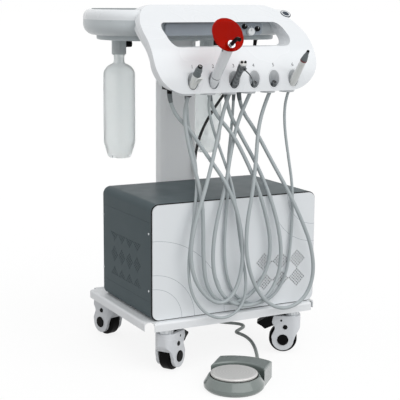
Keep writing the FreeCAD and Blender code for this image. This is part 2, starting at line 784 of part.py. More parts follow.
def make_handle_frame():
    """Front and rear shell, the band block behind the holders and the holder sleeves."""
    split = S.front_shell.value
    front = make_frame_shell("FrontShell", 0, split, 0.0, False)
    keep(cut(front, holder_rods(S.holder_outer, S.seat_gap)), "handle_front_shell")
    rear = make_frame_shell("RearShell", split + S.shell_gap.value,
                            split + S.rear_shell.value, S.rear_inset.value, True)
    keep(cut(rear, holder_rods(S.holder_outer, S.seat_gap)), "handle_rear_shell")
    tubes = cut(group(holder_rods(S.holder_outer)), holder_rods(S.holder_bore))
    room = body("HolderRoom")
    pad(room, "YZ_Plane", [slab(0, S.band_depth.value, S.band_bottom.value
                                - S.holder_drop.value)], S.frame_width, both=True)
    keep(common(tubes, room), "holder_sleeves")


def make_manifold():
    """Bar behind the band that the hoses come back to, with one fitting for each."""
    back = S.frame_front.value + S.band_depth.value
    bottom = S.band_bottom.value + S.manifold_drop.value
    items = [block(S.manifold_width, S.manifold_depth, S.manifold_height,
                   point(S.manifold_left, back, bottom))]
    for n in range(HOLDERS):
        end = point(*HOSES["hose_%d" % (n + 1)][1][-1]) + Z_AXIS * S.seat_gap.value
        items.append(rod(S.fitting_radius, S.manifold_drop + 4.0, end))
    return fuse(items)


# ---------------------------------------------------------------- bottles

cap_bottom = S.cover_bottom - S.cap_height
BOTTLES = {"bottle_left": S.bottle_left, "bottle_right": S.bottle_right}


def make_caps():
    """Threaded caps under the tray with a dip tube each and an elbow for the water line."""
    items = []
    for x in BOTTLES.values():
        cap = body("Cap")
        depth = S.thread_length + S.cap_bore_gap
        bore = S.bottle_neck + S.cap_bore_gap
        dip = S.dip_radius
        reach = S.cap_height + S.bottle_height * 0.8
        spin(cap, [(0, 0, 0), (S.cap_radius, 0, 4), (S.cap_radius, -S.cap_height, 1.5),
                   (bore, -S.cap_height, 0), (bore, -S.cap_height + depth, 0),
                   (dip, -S.cap_height + depth, 0), (dip, -reach, 0), (0, -reach, 0)])
        ribs = []
        count = 20
        for n in range(count):
            turn = 2 * math.pi * n / count
            reach_out = S.cap_radius.value + 0.6
            ribs.append(circle(reach_out * math.cos(turn), reach_out * math.sin(turn), 1.6))
        pocket(cap, "XY_Plane", ribs, S.cap_height - 8, -S.cap_height, back=True)
        cap.Placement = Placement(point(x, S.bottle_row, S.cover_bottom), Rotation())
        items.append(cap)
    keep(group(items), "bottle_caps")


def make_bottles():
    """Blown bottles: neck with a ring, domed shoulder, taper and a grooved standing foot."""
    wall, height = S.bottle_wall.value, S.bottle_height.value
    radius, neck, ring = S.bottle_radius.value, S.bottle_neck.value, S.neck_ring.value
    foot, taper, floor = S.bottle_foot.value, S.bottle_taper.value, S.bottle_floor.value
    shoulder, neck_end = S.bottle_shoulder.value, S.neck_length.value
    dome = neck_end + shoulder * 0.35
    thread = S.thread_length.value + 1.0
    for label, x in BOTTLES.items():
        item = body(label)
        spin(item, [(neck, 0, 0), (neck, -thread, 0), (ring, -thread, 0.8),
                    (ring, -thread - 2, 0.8), (neck, -thread - 2, 0), (neck, -neck_end, 8),
                    (radius, -dome, 32), (radius, -height + taper, 30), (foot, -height, 7),
                    (0, -height, 0), (0, -height + floor, 0),
                    (foot, -height + floor, 4), (radius - wall, -height + taper, 20),
                    (radius - wall, -dome - wall, 30), (neck - wall, -neck_end, 8),
                    (neck - wall, 0, 0)])
        grooves = []
        for n in range(round(S.foot_grooves.value)):
            turn = 2 * math.pi * n / S.foot_grooves.value
            grooves.append(circle(foot * math.cos(turn), foot * math.sin(turn), foot / 5))
        pocket(item, "XY_Plane", grooves, floor / 2, -height, back=True)
        top = cap_bottom + S.thread_length
        item.Placement = Placement(point(x, S.bottle_row, top), Rotation())
        keep(item, label)


# ---------------------------------------------------------------- casters

caster_y = platform_front + S.caster_inset
rear_y = platform_front + S.platform_depth - S.caster_inset
CASTERS = {
    "front_left": (-1, caster_y, 34.7, True), "front_right": (1, caster_y, 147.5, True),
    "rear_left": (-1, rear_y, 105.5, False), "rear_right": (1, rear_y, 78.0, False),
}


def hood_outline():
    """Side outline of the moulded hood; the wheel trails towards +x."""
    front, top = -S.hood_front.value, S.hood_top.value
    return rounded([(front, top, 5), (front + 1, 68, 14), (front + 11, 53, 12), (-5, 30, 5),
                    (48, 30, 6), (53, 45, 8), (42, 70, 12), (52, 85, 9), (48, top, 6)])


def make_hood(braked):
    """Hood: two cheeks round the wheel, closed over the top and the rounded front."""
    item = body("Hood")
    width, slot = S.hood_width, S.wheel_width + S.wheel_gap * 2
    axle = (S.caster_trail, S.wheel_radius)
    pad(item, "XZ_Plane", [hood_outline()], width, both=True)
    pad(item, "XZ_Plane", [circle(*axle, S.hood_boss)], width, both=True)
    half, front, reach = width.value / 2, -S.hood_front.value, S.wheel_radius.value * 2
    plan = rounded([(front, -half, S.hood_round), (reach, -half, 0), (reach, half, 0),
                    (front, half, S.hood_round)])
    pocket(item, "XY_Plane", [rectangle(0, 0, reach * 3, width * 2), plan], S.hood_top,
           back=True)
    pad(item, "XY_Plane", [circle(0, 0, S.stem_radius)], S.stem_length, S.hood_top)
    pocket(item, "XZ_Plane", [circle(*axle, S.wheel_radius + S.wheel_gap)], slot, both=True)
    trailing = rectangle(S.caster_trail + reach, S.wheel_radius, reach * 2,
                         S.wheel_radius * 2 + S.wheel_gap)
    pocket(item, "XZ_Plane", [trailing], slot, both=True)
    if braked:
        low, inner, high = S.brake_z - S.hood_boss * 0.7, S.caster_trail - 8, S.hood_top + 9
        room = rounded([(inner, low, 0), (reach * 2, low, 0), (reach * 2, high, 0),
                        (inner, high, 0)])
        pocket(item, "XZ_Plane", [room], slot, both=True)
        pocket(item, "XZ_Plane", [circle(S.brake_x, S.brake_z, S.brake_pin + S.axle_gap)],
               width, both=True)
    pocket(item, "XZ_Plane", [circle(*axle, S.axle_radius + S.axle_gap)], width, both=True)
    return item


def make_wheel():
    """Wheel with tyre, axle and the two hub caps, about its own axis."""
    half, radius = S.wheel_width.value / 2, S.wheel_radius.value
    hub, axle = radius - S.tyre_depth.value, S.axle_radius.value
    reach = S.hood_width.value / 2 + S.seat_gap.value
    cap, cap_end = S.hub_cap_radius.value, S.hub_cap_thick.value
    core = turned("Hub", [(0, -reach - cap_end, 0), (cap, -reach - cap_end, 2), (cap, -reach, 0),
                          (axle, -reach, 0), (axle, -half, 0), (hub, -half, 0), (hub, half, 0),
                          (axle, half, 0), (axle, reach, 0), (cap, reach, 0),
                          (cap, reach + cap_end, 2), (0, reach + cap_end, 0)])
    tyre = turned("Tyre", [(hub, -half, 1), (radius, -half, 6), (radius, half, 6),
                           (hub, half, 1)])
    return group([core, tyre])


def make_brake():
    """Brake pedal: pin, arm out over the tread and a tab that bears on the tyre."""
    item = body("Brake")
    pin_x, pin_z, reach = S.brake_x.value, S.brake_z.value, S.brake_reach.value
    side = rounded([(pin_x - 8, pin_z - 8, 5), (pin_x - 8, pin_z + 7, 5),
                    (pin_x + 30, pin_z + 10, 3), (reach - 17, pin_z, 16),
                    (reach, pin_z - 10, 2), (reach - 2, pin_z - 14, 2),
                    (reach - 13, pin_z - 20, 4), (reach - 22, pin_z - 28, 3),
                    (pin_x + 24, pin_z - 19, 5)])
    pad(item, "XZ_Plane", [side], S.brake_width, both=True)
    pad(item, "XZ_Plane", [circle(S.brake_x, S.brake_z, S.brake_pin)],
        S.hood_width, both=True)
    return item


def make_casters():
    """Four swivel casters under the platform, brakes on the front pair."""
    collars = []
    for name, (side, y, trailing, braked) in CASTERS.items():
        x = S.platform_shift + S.caster_span / 2 * side
        foot = Placement(point(x, y, 0), Rotation(Z_AXIS, trailing))
        hood = make_hood(braked)
        hood.Placement = foot
        keep(hood, "caster_hood_" + name)
        wheel = make_wheel()
        wheel.Placement = foot.multiply(Placement(point(S.caster_trail, 0, S.wheel_radius),
                                                  Rotation(Z_AXIS, -Y_AXIS)))
        keep(wheel, "wheel_" + name)
        if braked:
            brake = make_brake()
            brake.Placement = foot
            keep(brake, "brake_pedal_" + name)
        base = S.hood_top + S.seat_gap
        collar = rod(S.caster_inset - S.platform_bend - S.collar_gap,
                     deck - S.platform_sheet - base, point(x, y, base))
        bore = rod(S.stem_radius + S.axle_gap, S.stem_length + S.seat_gap, point(x, y, base))
        collars.append(cut(collar, bore))
    keep(group(collars), "caster_collars")


# ---------------------------------------------------------------- hose routes

HOSES = {
    "hose_1": (S.hose_radius, [
        (-133, -84.4, 702.7), (-133, -58.9, 672.3), (-136, -77, 603), (-122, -93, 526),
        (-107, -109, 449), (-105, -114, 374), (-106, -116, 290), (-97, -116, 218),
        (-61, -115.5, 171), (-5, -115.5, 161), (50, -116, 191), (86, -116, 248),
        (93, -117, 317), (75, -118, 394), (51, -113, 468), (24, -101, 535), (-10, -89, 603),
        (-53, -49, 664), (-55, -47, 705.7)]),
    "hose_2": (S.thin_hose_radius, [
        (-75, -99.3, 722.8), (-75, -73.8, 692.4), (-59, -67, 624), (-31, -73, 547),
        (-15, -102, 471), (-9, -117, 389), (3, -120, 301), (15, -130, 217), (-1, -137, 157),
        (-52, -137, 130), (-111, -136, 151), (-149, -131, 209), (-154, -125, 282),
        (-139, -118, 367), (-120, -103, 446), (-104, -74, 520), (-113, -53, 594),
        (-120, -47, 665), (-121, -47, 705.7)]),
    "hose_3": (S.hose_radius, [
        (-17, -86.8, 707.2), (-17, -61.3, 676.8), (-49, -89, 611), (-77, -106, 535),
        (-108, -124, 462), (-139, -133, 388), (-154, -136, 314), (-143, -137, 246),
        (-104, -137, 191), (-58, -137, 170), (-20, -136, 202), (1, -132, 268),
        (-1, -129, 344), (-18, -127, 420), (-46, -119, 487), (-79, -83, 549),
        (-116, -61, 613), (-165, -48, 665), (-168, -47, 705.7)]),
    "hose_4": (S.hose_radius, [
        (41, -98, 717.4), (41, -72.5, 687), (13, -68, 621), (-16, -88, 544),
        (-39, -110, 473), (-66, -118, 400), (-84, -125, 322), (-81, -126, 244),
        (-51, -126, 183), (6, -126, 153), (68, -126, 161), (110, -125, 210),
        (124, -122, 282), (114, -117, 361), (92, -107, 441), (64, -86, 520), (27, -66, 594),
        (-5, -48, 664), (-8, -47, 705.7)]),
    "hose_5": (S.hose_radius, [
        (99, -98, 717.4), (99, -72.5, 687), (72, -79, 620), (50, -108, 541),
        (29, -129, 456), (8, -137, 377), (5, -140, 297), (26, -140, 220), (70, -138, 158),
        (130, -137, 133), (188, -137, 155), (217, -136, 214), (211, -133, 291),
        (180, -128, 369), (145, -113, 447), (107, -89, 526), (73, -64, 603), (33, -48, 664),
        (30, -47, 705.7)]),
    "hose_6": (S.thin_hose_radius, [
        (157, -96.5, 718.7), (157, -71, 688.3), (153, -73, 621), (159, -86, 540),
        (165, -102, 460), (164, -106, 379), (160, -106, 293), (148, -106, 216),
        (113, -106, 164), (56, -106, 147), (0, -106, 169), (-31, -106, 225),
        (-41, -106, 302), (-37, -106, 385), (-29, -104, 455), (-8, -62, 526),
        (10, -44, 596), (15, -46, 664), (16, -47, 705.7)]),
    "umbilical_hose": (S.umbilical_radius, [
        (222, 200, 825.7), (221, 203, 785), (178, 216, 728), (124, 221, 662), (82, 221, 606),
        (56, 221, 556), (43, 221, 504), (42, 221, 455), (57, 221, 416), (60, 221, 384.3)]),
    "pedal_hose": (S.pedal_hose_radius, [
        (6, -208, 9), (60, -116, 5), (111, -6, 5), (126, 59, 5), (123, 92, 5), (119, 113, 5),
        (145, 130, 5), (171, 150, 5), (172, 176, 5), (143, 203, 5), (108, 240, 5),
        (94, 280, 5), (90, 312, 18), (90, 326, 52), (90, 327, 104), (90, 314, 150),
        (90, 282, 178), (90, 238.3, 184)]),
}
# ---------------------------------------------------------------- foot control

def make_foot_control():
    """Bowl with a sprung metal disc, and the valve block behind it."""
    place = Placement(point(S.pedal_x, S.pedal_y, 0), Rotation(Z_AXIS, S.pedal_turn.value))
    radius, height = S.bowl_radius.value, S.bowl_height.value
    well, floor = S.bowl_well.value, S.bowl_floor.value
    post = S.disc_stem.value - S.disc_sleeve.value - S.seat_gap.value
    post_top = S.disc_top.value - S.disc_thick.value - S.disc_travel.value - 2.0
    bowl = body("Bowl")
    spin(bowl, [(0, 0, 0), (radius - 6, 0, 4), (radius, 7, 5), (radius, 15, 3),
                (S.bowl_rim, height, 4),
                (well, height, 0), (well, floor, 4), (post, floor, 0), (post, post_top, 1),
                (0, post_top, 0)])
    bowl.Placement = place
    disc = body("Disc")
    top, thick = S.disc_top.value, S.disc_thick.value
    disc_radius = S.disc_radius.value
    stem, foot = S.disc_stem.value, floor + S.disc_travel.value + 1.0
    spin(disc, [(0, top - thick, 0), (stem - S.disc_sleeve.value, top - thick, 0),
                (stem - S.disc_sleeve.value, foot, 0), (stem, foot, 0),
                (stem, top - thick, 0), (disc_radius - 1, top - thick, 0),
                (disc_radius, top - 2, 2), (disc_radius - 5, top, 6), (0, top + 0.5, 0)])
    disc.Placement = place
    keep(disc, "pedal_disc")
    block_body = body("ValveBlock")
    half, inner = S.block_half.value, radius + S.block_gap.value
    reach = S.block_reach.value
    side_y = math.sqrt(reach ** 2 - half ** 2)
    near_y = math.sqrt(inner ** 2 - half ** 2)
    outline = [Part.LineSegment(Vector(half, near_y, 0), Vector(half, side_y, 0)),
               Part.Arc(Vector(half, side_y, 0), Vector(0, reach, 0),
                        Vector(-half, side_y, 0)),
               Part.LineSegment(Vector(-half, side_y, 0), Vector(-half, near_y, 0)),
               Part.Arc(Vector(-half, near_y, 0), Vector(0, inner, 0),
                        Vector(half, near_y, 0))]
    pad(block_body, "XY_Plane", [outline], S.block_height)
    fillet(block_body, S.block_height / 10, at_height(S.block_height))
    block_body.Placement = place
    first, second = [point(*corner) for corner in HOSES["pedal_hose"][1][:2]]
    way = (second - first).normalize()
    length = S.socket_length
    socket = rod(S.fitting_radius, length,
                 first - way * (length.value + S.seat_gap.value), way)
    keep(group([bowl, fuse([block_body, socket])]), "pedal_base")


# ---------------------------------------------------------------- instruments

def hang(item, index, along, radius):
    """Place a part that was drawn along Z into a holder, leaning on the bore."""
    lean = S.holder_bore.value - radius - S.seat_gap.value
    item.Placement = Placement(holder_point(index, along, lean),
                               Rotation(X_AXIS, S.holder_tilt.value))
    return item


def make_suction():
    """Saliva ejector handle with nozzle, and its thumb lever."""
    handle = turned("Suction", [(0, -45, 0), (5, -45, 0), (8, -45, 1), (8, -30, 1), (7, -29, 0),
                                (7, -18, 1), (10, -14, 2), (10, 25, 2), (8.5, 28, 1),
                                (8.5, 34, 1), (5, 52, 1), (0, 52, 0)])
    pocket(handle, "XY_Plane", [circle(0, 0, 3)], 20.0, 52.0)
    keep(hang(handle, 0, 0, 10), "suction_handle")
    lever = body("Lever")
    pad(lever, "YZ_Plane", [rounded([(-10.4, 6.9, 2), (-10.9, 12, 0), (-11.5, 21, 3),
                                     (-19, 32, 1.2), (-21, 30, 1.2), (-15, 14, 3),
                                     (-14.6, 6.9, 2)])], 12.0, both=True)
    keep(hang(lever, 0, 0, 10), "suction_lever")


def make_light():
    """Curing light: battery handle, collar and guide on a bent head, shield and switch."""
    neck, bend = S.light_neck.value, math.radians(S.light_bend.value)
    collar, length = S.light_collar.value, S.collar_length.value
    start, way = Vector(0, 0, neck), Vector(0, -math.sin(bend), math.cos(bend))
    grip, button_z = 12.5, neck - 11
    handle = turned("Light", [(0, -20, 0), (9.5, -20, 2), (11.5, 0, 0), (grip, 60, 30),
                              (13.5, neck - 10, 12), (12, neck, 5), (0, neck, 0)])
    pocket(handle, "YZ_Plane", [circle(0, button_z, 3 + S.seat_gap)], 8.0, -16.0, back=True)
    ring = rod(S.light_collar, S.collar_length + 6.0, start - way * 6.0, way)
    keep(hang(fuse([handle, ring]), 1, 0, grip), "light_body")
    tip = doc.addObject("Part::Feature", fresh("LightTip"))
    foot = start + way * (length + S.seat_gap.value)
    straight, turn, end = 24.0, math.radians(40), 6.0
    curve = 16.0
    aside = Vector(0, -math.cos(bend), -math.sin(bend))
    bend_start = foot + way * straight
    points = [bend_start + way * (curve * math.sin(turn * share))
              + aside * (curve * (1 - math.cos(turn * share))) for share in (0.5, 1.0)]
    last = way * math.cos(turn) + aside * math.sin(turn)
    path = Part.Wire([Part.LineSegment(foot, bend_start).toShape(),
                      Part.Arc(bend_start, *points).toShape(),
                      Part.LineSegment(points[1], points[1] + last * end).toShape()])
    circle_wire = Part.Wire(Part.Circle(foot, way, S.guide_radius.value).toShape())
    tip.Shape = path.makePipeShell([circle_wire], True, True)
    keep(hang(tip, 1, 0, grip), "light_tip")
    shield = body("Shield")
    bore = collar + S.seat_gap.value
    middle = S.shield_length.value / 2 - S.shield_edge.value
    outline = rectangle(0, middle, S.shield_width, S.shield_length,
                        S.shield_width / 2 - 1.0)
    pad(shield, "XY_Plane", [outline, circle(0, 0, bore)], S.shield_thick)
    pad(shield, "XY_Plane", [circle(0, 0, bore + 2.5), circle(0, 0, bore)],
        S.shield_thick * 2)
    seat = Placement(start + way * (length * 0.45), Rotation(X_AXIS, S.light_bend.value))
    hang(shield, 1, 0, grip)
    shield.Placement = shield.Placement.multiply(seat)
    keep(shield, "light_shield")
    button = body("Button")
    pad(button, "YZ_Plane", [circle(0, button_z, 3)], 3.5, -14.0)
    keep(hang(button, 1, 0, grip), "light_button")


def make_syringe():
    """Three way syringe: metal handle, head with two buttons, bent water tip."""
    handle = turned("Syringe", [(0, -40, 0), (9, -40, 1), (9, -20, 0), (8.2, -10, 1),
                                (8.2, 30, 1), (9.5, 44, 2), (9.5, 62, 3), (0, 62, 0)])
    pad(handle, "XZ_Plane", [circle(0, 52, 6.5)], 14.0)
    buttons = {"syringe_button_air": 5.0, "syringe_button_water": -5.0}
    wells = [circle(x, 0, 3.2 + S.seat_gap) for x in buttons.values()]
    pocket(handle, "XY_Plane", wells, 7.0, 62.0)
    hang(handle, 2, 0, 9)
    tip = doc.addObject("Part::Feature", fresh("SyringeTip"))
    radius = 1.6
    start, knee, end = Vector(0, -14, 52), Vector(0, -47, 64), Vector(0, -80, 57)
    reach = 14.0
    enter = knee + (start - knee).normalize() * reach
    leave = knee + (end - knee).normalize() * reach
    middle = (enter + leave) * 0.35 + knee * 0.3
    path = Part.Wire([Part.LineSegment(start, enter).toShape(),
                      Part.Arc(enter, middle, leave).toShape(),
                      Part.LineSegment(leave, end).toShape()])
    ring = Part.Wire(Part.Circle(start, knee - start, radius).toShape())
    tip.Shape = path.makePipeShell([ring], True, True)
    hang(tip, 2, 0, 9)
    keep(group([handle, tip]), "syringe")
    for name, shift in buttons.items():
        button = turned(name, [(0, 58, 0), (3.2, 58, 0), (3.2, 66, 1), (0, 66, 0)])
        hang(button, 2, 0, 9)
        button.Placement.Base += Vector(shift, 0, 0)
        keep(button, name)


def make_couplings():
    """Bare four-hole couplings of the two turbine hoses."""
    for index, name in ((3, "highspeed_coupling"), (4, "lowspeed_coupling")):
        coupling = turned(name, [(0, -25, 0), (7, -25, 1), (7, -12, 0), (6.4, -12, 0),
                                 (6.4, -5, 1), (0, -5, 0)])
        holes = [circle(3.2 * math.cos(turn), 3.2 * math.sin(turn), 1.0)
                 for turn in (0.4, 1.9, 3.5, 5.1)]
        pocket(coupling, "XY_Plane", holes, 8.0, -5.0)
        keep(hang(coupling, index, 0, 7), name)


def make_scaler():
    """Ultrasonic scaler handpiece with its cone and working tip."""
    handle = turned("Scaler", [(0, -25, 0), (9, -25, 1), (10, 0, 10), (8.5, 40, 20), (8, 66, 1),
                               (0, 66, 0)])
    keep(hang(handle, 5, 0, 9), "scaler_handle")
    tip = turned("ScalerTip", [(0, 66.3, 0), (8, 66.3, 0), (8, 71, 1), (7, 72, 0), (3, 88, 4),
                               (1.2, 100, 0.5), (0, 100, 0)])
    keep(hang(tip, 5, 0, 9), "scaler_tip")


# ---------------------------------------------------------------- hoses

BEND_SHARE = 0.45


def make_hose(name, radius, corners):
    """Round tube along straight runs joined by tangent arcs."""
    points = [point(*corner) for corner in corners]
    edges, start, bends = [], points[0], []
    for before, here, after in zip(points, points[1:], points[2:]):
        back, ahead = before - here, after - here
        reach = BEND_SHARE * min(back.Length, ahead.Length)
        half_turn = (math.pi - back.getAngle(ahead)) / 2
        bends.append(reach / math.tan(half_turn))
        enter, leave = here + back.normalize() * reach, here + ahead.normalize() * reach
        centre = here + (back + ahead).normalize() * (bends[-1] / math.cos(half_turn))
        middle = centre + (here - centre).normalize() * bends[-1]
        edges.append(Part.LineSegment(start, enter).toShape())
        edges.append(Part.Arc(enter, middle, leave).toShape())
        start = leave
    edges.append(Part.LineSegment(start, points[-1]).toShape())
    wire = Part.Wire(edges)
    ring = Part.Wire(Part.Circle(points[0], points[1] - points[0], float(radius)).toShape())
    item = doc.addObject("Part::Feature", fresh("Hose"))
    item.Shape = wire.makePipeShell([ring], True, False)
    expected = math.pi * float(radius) ** 2 * wire.Length
    print("%s: length %.0f, tightest bend %.0f, volume ratio %.4f"
          % (name, wire.Length, min(bends), item.Shape.Volume / expected))
    return keep(item, name)


def make_glands():
    """Fittings that the umbilical, the foot control's hose and the water lines plug into."""
    gap, back = S.seat_gap.value, cabinet_back - S.back_panel_recess
    top, foot = [point(*HOSES["umbilical_hose"][1][n]) for n in (0, -1)]
    elbow_base = foot - Z_AXIS * (S.elbow_height.value + gap)
    elbow = rod(S.fitting_radius, S.elbow_height, elbow_base)
    stub = rod(S.stub_radius, S.elbow_reach,
               elbow_base + Z_AXIS * (S.elbow_height.value / 2)
               - Y_AXIS * S.elbow_reach.value, Y_AXIS)
    drop = rod(S.fitting_radius, S.cover_bottom - top.z - S.seat_gap, top + Z_AXIS * gap)
    end = point(*HOSES["pedal_hose"][1][-1])
    gland = rod(S.fitting_radius, S.pedal_gland,
                end - Y_AXIS * (S.pedal_gland.value + gap), Y_AXIS)
    inlet = block(S.inlet_width, S.inlet_depth, S.inlet_height,
                  point(S.inlet_x, back, S.inlet_z))
    lines = []
    for x in BOTTLES.values():
        side = point(x + S.cap_radius + S.seat_gap, S.bottle_row,
                     S.cover_bottom - S.cap_radius * 0.8)
        across = rod(S.cap_radius * 0.45, S.cap_radius * 0.8, side, X_AXIS)
        upright = rod(S.stub_radius, S.cap_radius * 0.8,
                      side + X_AXIS * (S.cap_radius.value * 0.4))
        lines.append(fuse([across, upright]))
    keep(group([make_manifold(), fuse([elbow, stub]), drop, gland, inlet] + lines),
         "hose_fittings")


make_platform()
make_sleeve()
make_side_panels()
make_front()
make_back()
make_compressor()
make_column()
make_bracket()
make_tray()
make_console()
make_handle_frame()
make_caps()
make_bottles()
make_casters()
make_foot_control()
make_suction()
make_light()
make_syringe()
make_couplings()
make_scaler()
for hose_name, (hose_radius, hose_corners) in HOSES.items():
    make_hose(hose_name, hose_radius, hose_corners)
make_glands()

doc.recompute()

os.makedirs("parts", exist_ok=True)
for item in doc.Objects:
    if "Invalid" in item.State or "Error" in item.State:
        raise RuntimeError("%s (%s) did not build" % (item.Label, item.TypeId))
for item in nodes:
    shape = item.Shape
    if shape.isNull() or not shape.isValid() or not shape.Solids:
        raise RuntimeError("%s has no valid solid" % item.Label)
for item in nodes:
    item.Shape.exportStep("parts/%s.step" % item.Label)
print("%d sub-parts written" % len(nodes))
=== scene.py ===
import math
import bpy
import bmesh
from mathutils import Matrix, Vector


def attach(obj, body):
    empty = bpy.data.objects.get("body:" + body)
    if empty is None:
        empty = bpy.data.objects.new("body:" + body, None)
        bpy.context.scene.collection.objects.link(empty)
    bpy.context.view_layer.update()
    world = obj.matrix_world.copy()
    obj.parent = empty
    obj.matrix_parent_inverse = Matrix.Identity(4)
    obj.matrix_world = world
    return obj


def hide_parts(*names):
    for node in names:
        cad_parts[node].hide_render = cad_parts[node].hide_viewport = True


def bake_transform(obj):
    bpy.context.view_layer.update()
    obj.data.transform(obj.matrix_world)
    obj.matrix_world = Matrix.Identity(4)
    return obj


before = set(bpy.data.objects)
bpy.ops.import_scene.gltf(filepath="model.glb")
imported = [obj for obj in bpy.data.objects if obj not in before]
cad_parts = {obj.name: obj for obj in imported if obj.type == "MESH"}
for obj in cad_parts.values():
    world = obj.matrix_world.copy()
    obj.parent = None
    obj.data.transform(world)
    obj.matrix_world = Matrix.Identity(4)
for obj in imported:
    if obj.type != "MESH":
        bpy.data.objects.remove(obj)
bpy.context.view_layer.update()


# --- Shared tools -----------------------------------------------------------------------
# The colours, node trees and ways of making that the sections below have in common: coated
# sheet, moulded plastic, turned steel, lathe work and small blocks. All lengths are metres.

def linear(text):
    """A hex colour as Blender wants it."""
    parts = [int(text[n:n + 2], 16) / 255 for n in (1, 3, 5)]
    return [c / 12.92 if c <= 0.04045 else ((c + 0.055) / 1.055) ** 2.4 for c in parts] + [1.0]


def add(tree, kind, sockets=None, **settings):
    """Adds a node, sets what it needs and links what feeds it."""
    new = tree.nodes.new(kind)
    for name, value in settings.items():
        setattr(new, name, value)
    for name, value in (sockets or {}).items():
        if isinstance(value, bpy.types.NodeSocket):
            tree.links.new(value, new.inputs[name])
        else:
            new.inputs[name].default_value = value
    return new


def math_node(tree, operation, *values):
    """One step of arithmetic on values or sockets."""
    return add(tree, "ShaderNodeMath", dict(enumerate(values)),
               operation=operation).outputs["Value"]


def new_material(name):
    """An empty material, its tree, and the point on the piece in metres."""
    material = bpy.data.materials.new(name)
    material.use_nodes = True
    tree = material.node_tree
    tree.nodes.clear()
    return material, tree, add(tree, "ShaderNodeTexCoord").outputs["Object"]


def noise(tree, place, size, detail):
    """Soft clouds of one size."""
    return add(tree, "ShaderNodeTexNoise", {"Vector": place, "Scale": 1 / size,
                                            "Detail": detail}).outputs["Fac"]


def between(tree, fac, dark, light):
    """A colour that wanders from one tone to another."""
    return add(tree, "ShaderNodeMixRGB", {"Fac": fac, "Color1": linear(dark),
                                          "Color2": linear(light)}).outputs["Color"]


def spread(tree, fac, swing, low, high):
    """A roughness that wanders between two limits, as noise swings about its middle."""
    return add(tree, "ShaderNodeMapRange", {"Value": fac, "From Min": 0.5 - swing,
                                            "From Max": 0.5 + swing, "To Min": low,
                                            "To Max": high}).outputs["Result"]


def relief(tree, fac, strength, depth):
    """The small ups and downs of a surface."""
    return add(tree, "ShaderNodeBump", {"Height": fac, "Strength": strength,
                                        "Distance": depth}).outputs["Normal"]


def shade(tree, sockets):
    """The surface itself, joined to the material's output."""
    shader = add(tree, "ShaderNodeBsdfPrincipled", sockets)
    add(tree, "ShaderNodeOutputMaterial", {"Surface": shader.outputs["BSDF"]})


def coated_steel(name, light, dark, rough=(0.38, 0.5), depth=0.00006, shine=0.5):
    """Powder coat: soft satin, orange peel, and clouds of a paler or darker tone."""
    cloud_size, scuff_size, peel_size = 0.09, 0.05, 0.0025
    material, tree, place = new_material(name)
    shade(tree, {
        "Base Color": between(tree, noise(tree, place, cloud_size, 3.0), dark, light),
        "Roughness": spread(tree, noise(tree, place, scuff_size, 1.0), 0.2, *rough),
        "Normal": relief(tree, noise(tree, place, peel_size, 2.0), 0.5, depth),
        "Specular IOR Level": shine})
    return material


def moulded(name, light, dark, rough, grain=0.0006, depth=0.00002, coat=0.0, metal=0.0,
            shine=0.5):
    """Injection moulded plastic or rubber: even colour, fine spark-eroded grain of the mould."""
    cloud_size, wear_size, wear = 0.05, 0.07, 0.03
    material, tree, place = new_material(name)
    shade(tree, {
        "Base Color": between(tree, noise(tree, place, cloud_size, 2.0), dark, light),
        "Roughness": spread(tree, noise(tree, place, wear_size, 0.5), 0.15, rough - wear,
                            rough + wear),
        "Normal": relief(tree, noise(tree, place, grain, 1.0), 0.35, depth),
        "Coat Weight": coat, "Coat Roughness": 0.08, "Metallic": metal,
        "Specular IOR Level": shine})
    return material


def turned_steel(name, light, dark, rough, centre=(0, 0, 0), metal=1.0):
    """Stainless steel from the lathe: fine rings round the axis that stretch the highlight."""
    ring = 0.0012
    material, tree, place = new_material(name)
    there = add(tree, "ShaderNodeMapping", {"Vector": place, "Location": [-c for c in centre]})
    rings = add(tree, "ShaderNodeTexWave",
                {"Vector": there.outputs["Vector"], "Scale": 1 / (ring * 20),
                 "Distortion": 1.5, "Detail": 2.0, "Detail Scale": 3.0},
                wave_type="RINGS", rings_direction="Z").outputs["Fac"]
    shade(tree, {"Base Color": between(tree, rings, dark, light), "Metallic": metal,
                 "Roughness": rough, "Normal": relief(tree, rings, 0.2, 0.00002)})
    return material


def dress(material, *names):
    """Puts a material on CAD pieces."""
    for name in names:
        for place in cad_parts[name].material_slots:
            place.material = material


def nodes_named(start):
    """The CAD pieces whose names begin alike."""
    return [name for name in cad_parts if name.startswith(start)]


def shift(x, y, z):
    return Matrix.Translation((x, y, z))


def turned(degrees, axis):
    return Matrix.Rotation(math.radians(degrees), 4, axis)


def facing(spot, way):
    """The placement of a piece whose own axis points along way at spot."""
    turn = Vector(way).to_track_quat("Z", "Y").to_matrix().to_4x4()
    return Matrix.Translation(spot) @ turn


def as_piece(name, data):
    """An object in the scene that shows a mesh or curve."""
    piece = bpy.data.objects.new(name, data)
    bpy.context.scene.collection.objects.link(piece)
    return piece


def fitted(name, mesh, material, body):
    """A finished mesh as a piece with its material and the body it rides on."""
    mesh.materials.append(material)
    piece = as_piece(name, mesh)
    if body:
        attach(piece, body)
    return piece


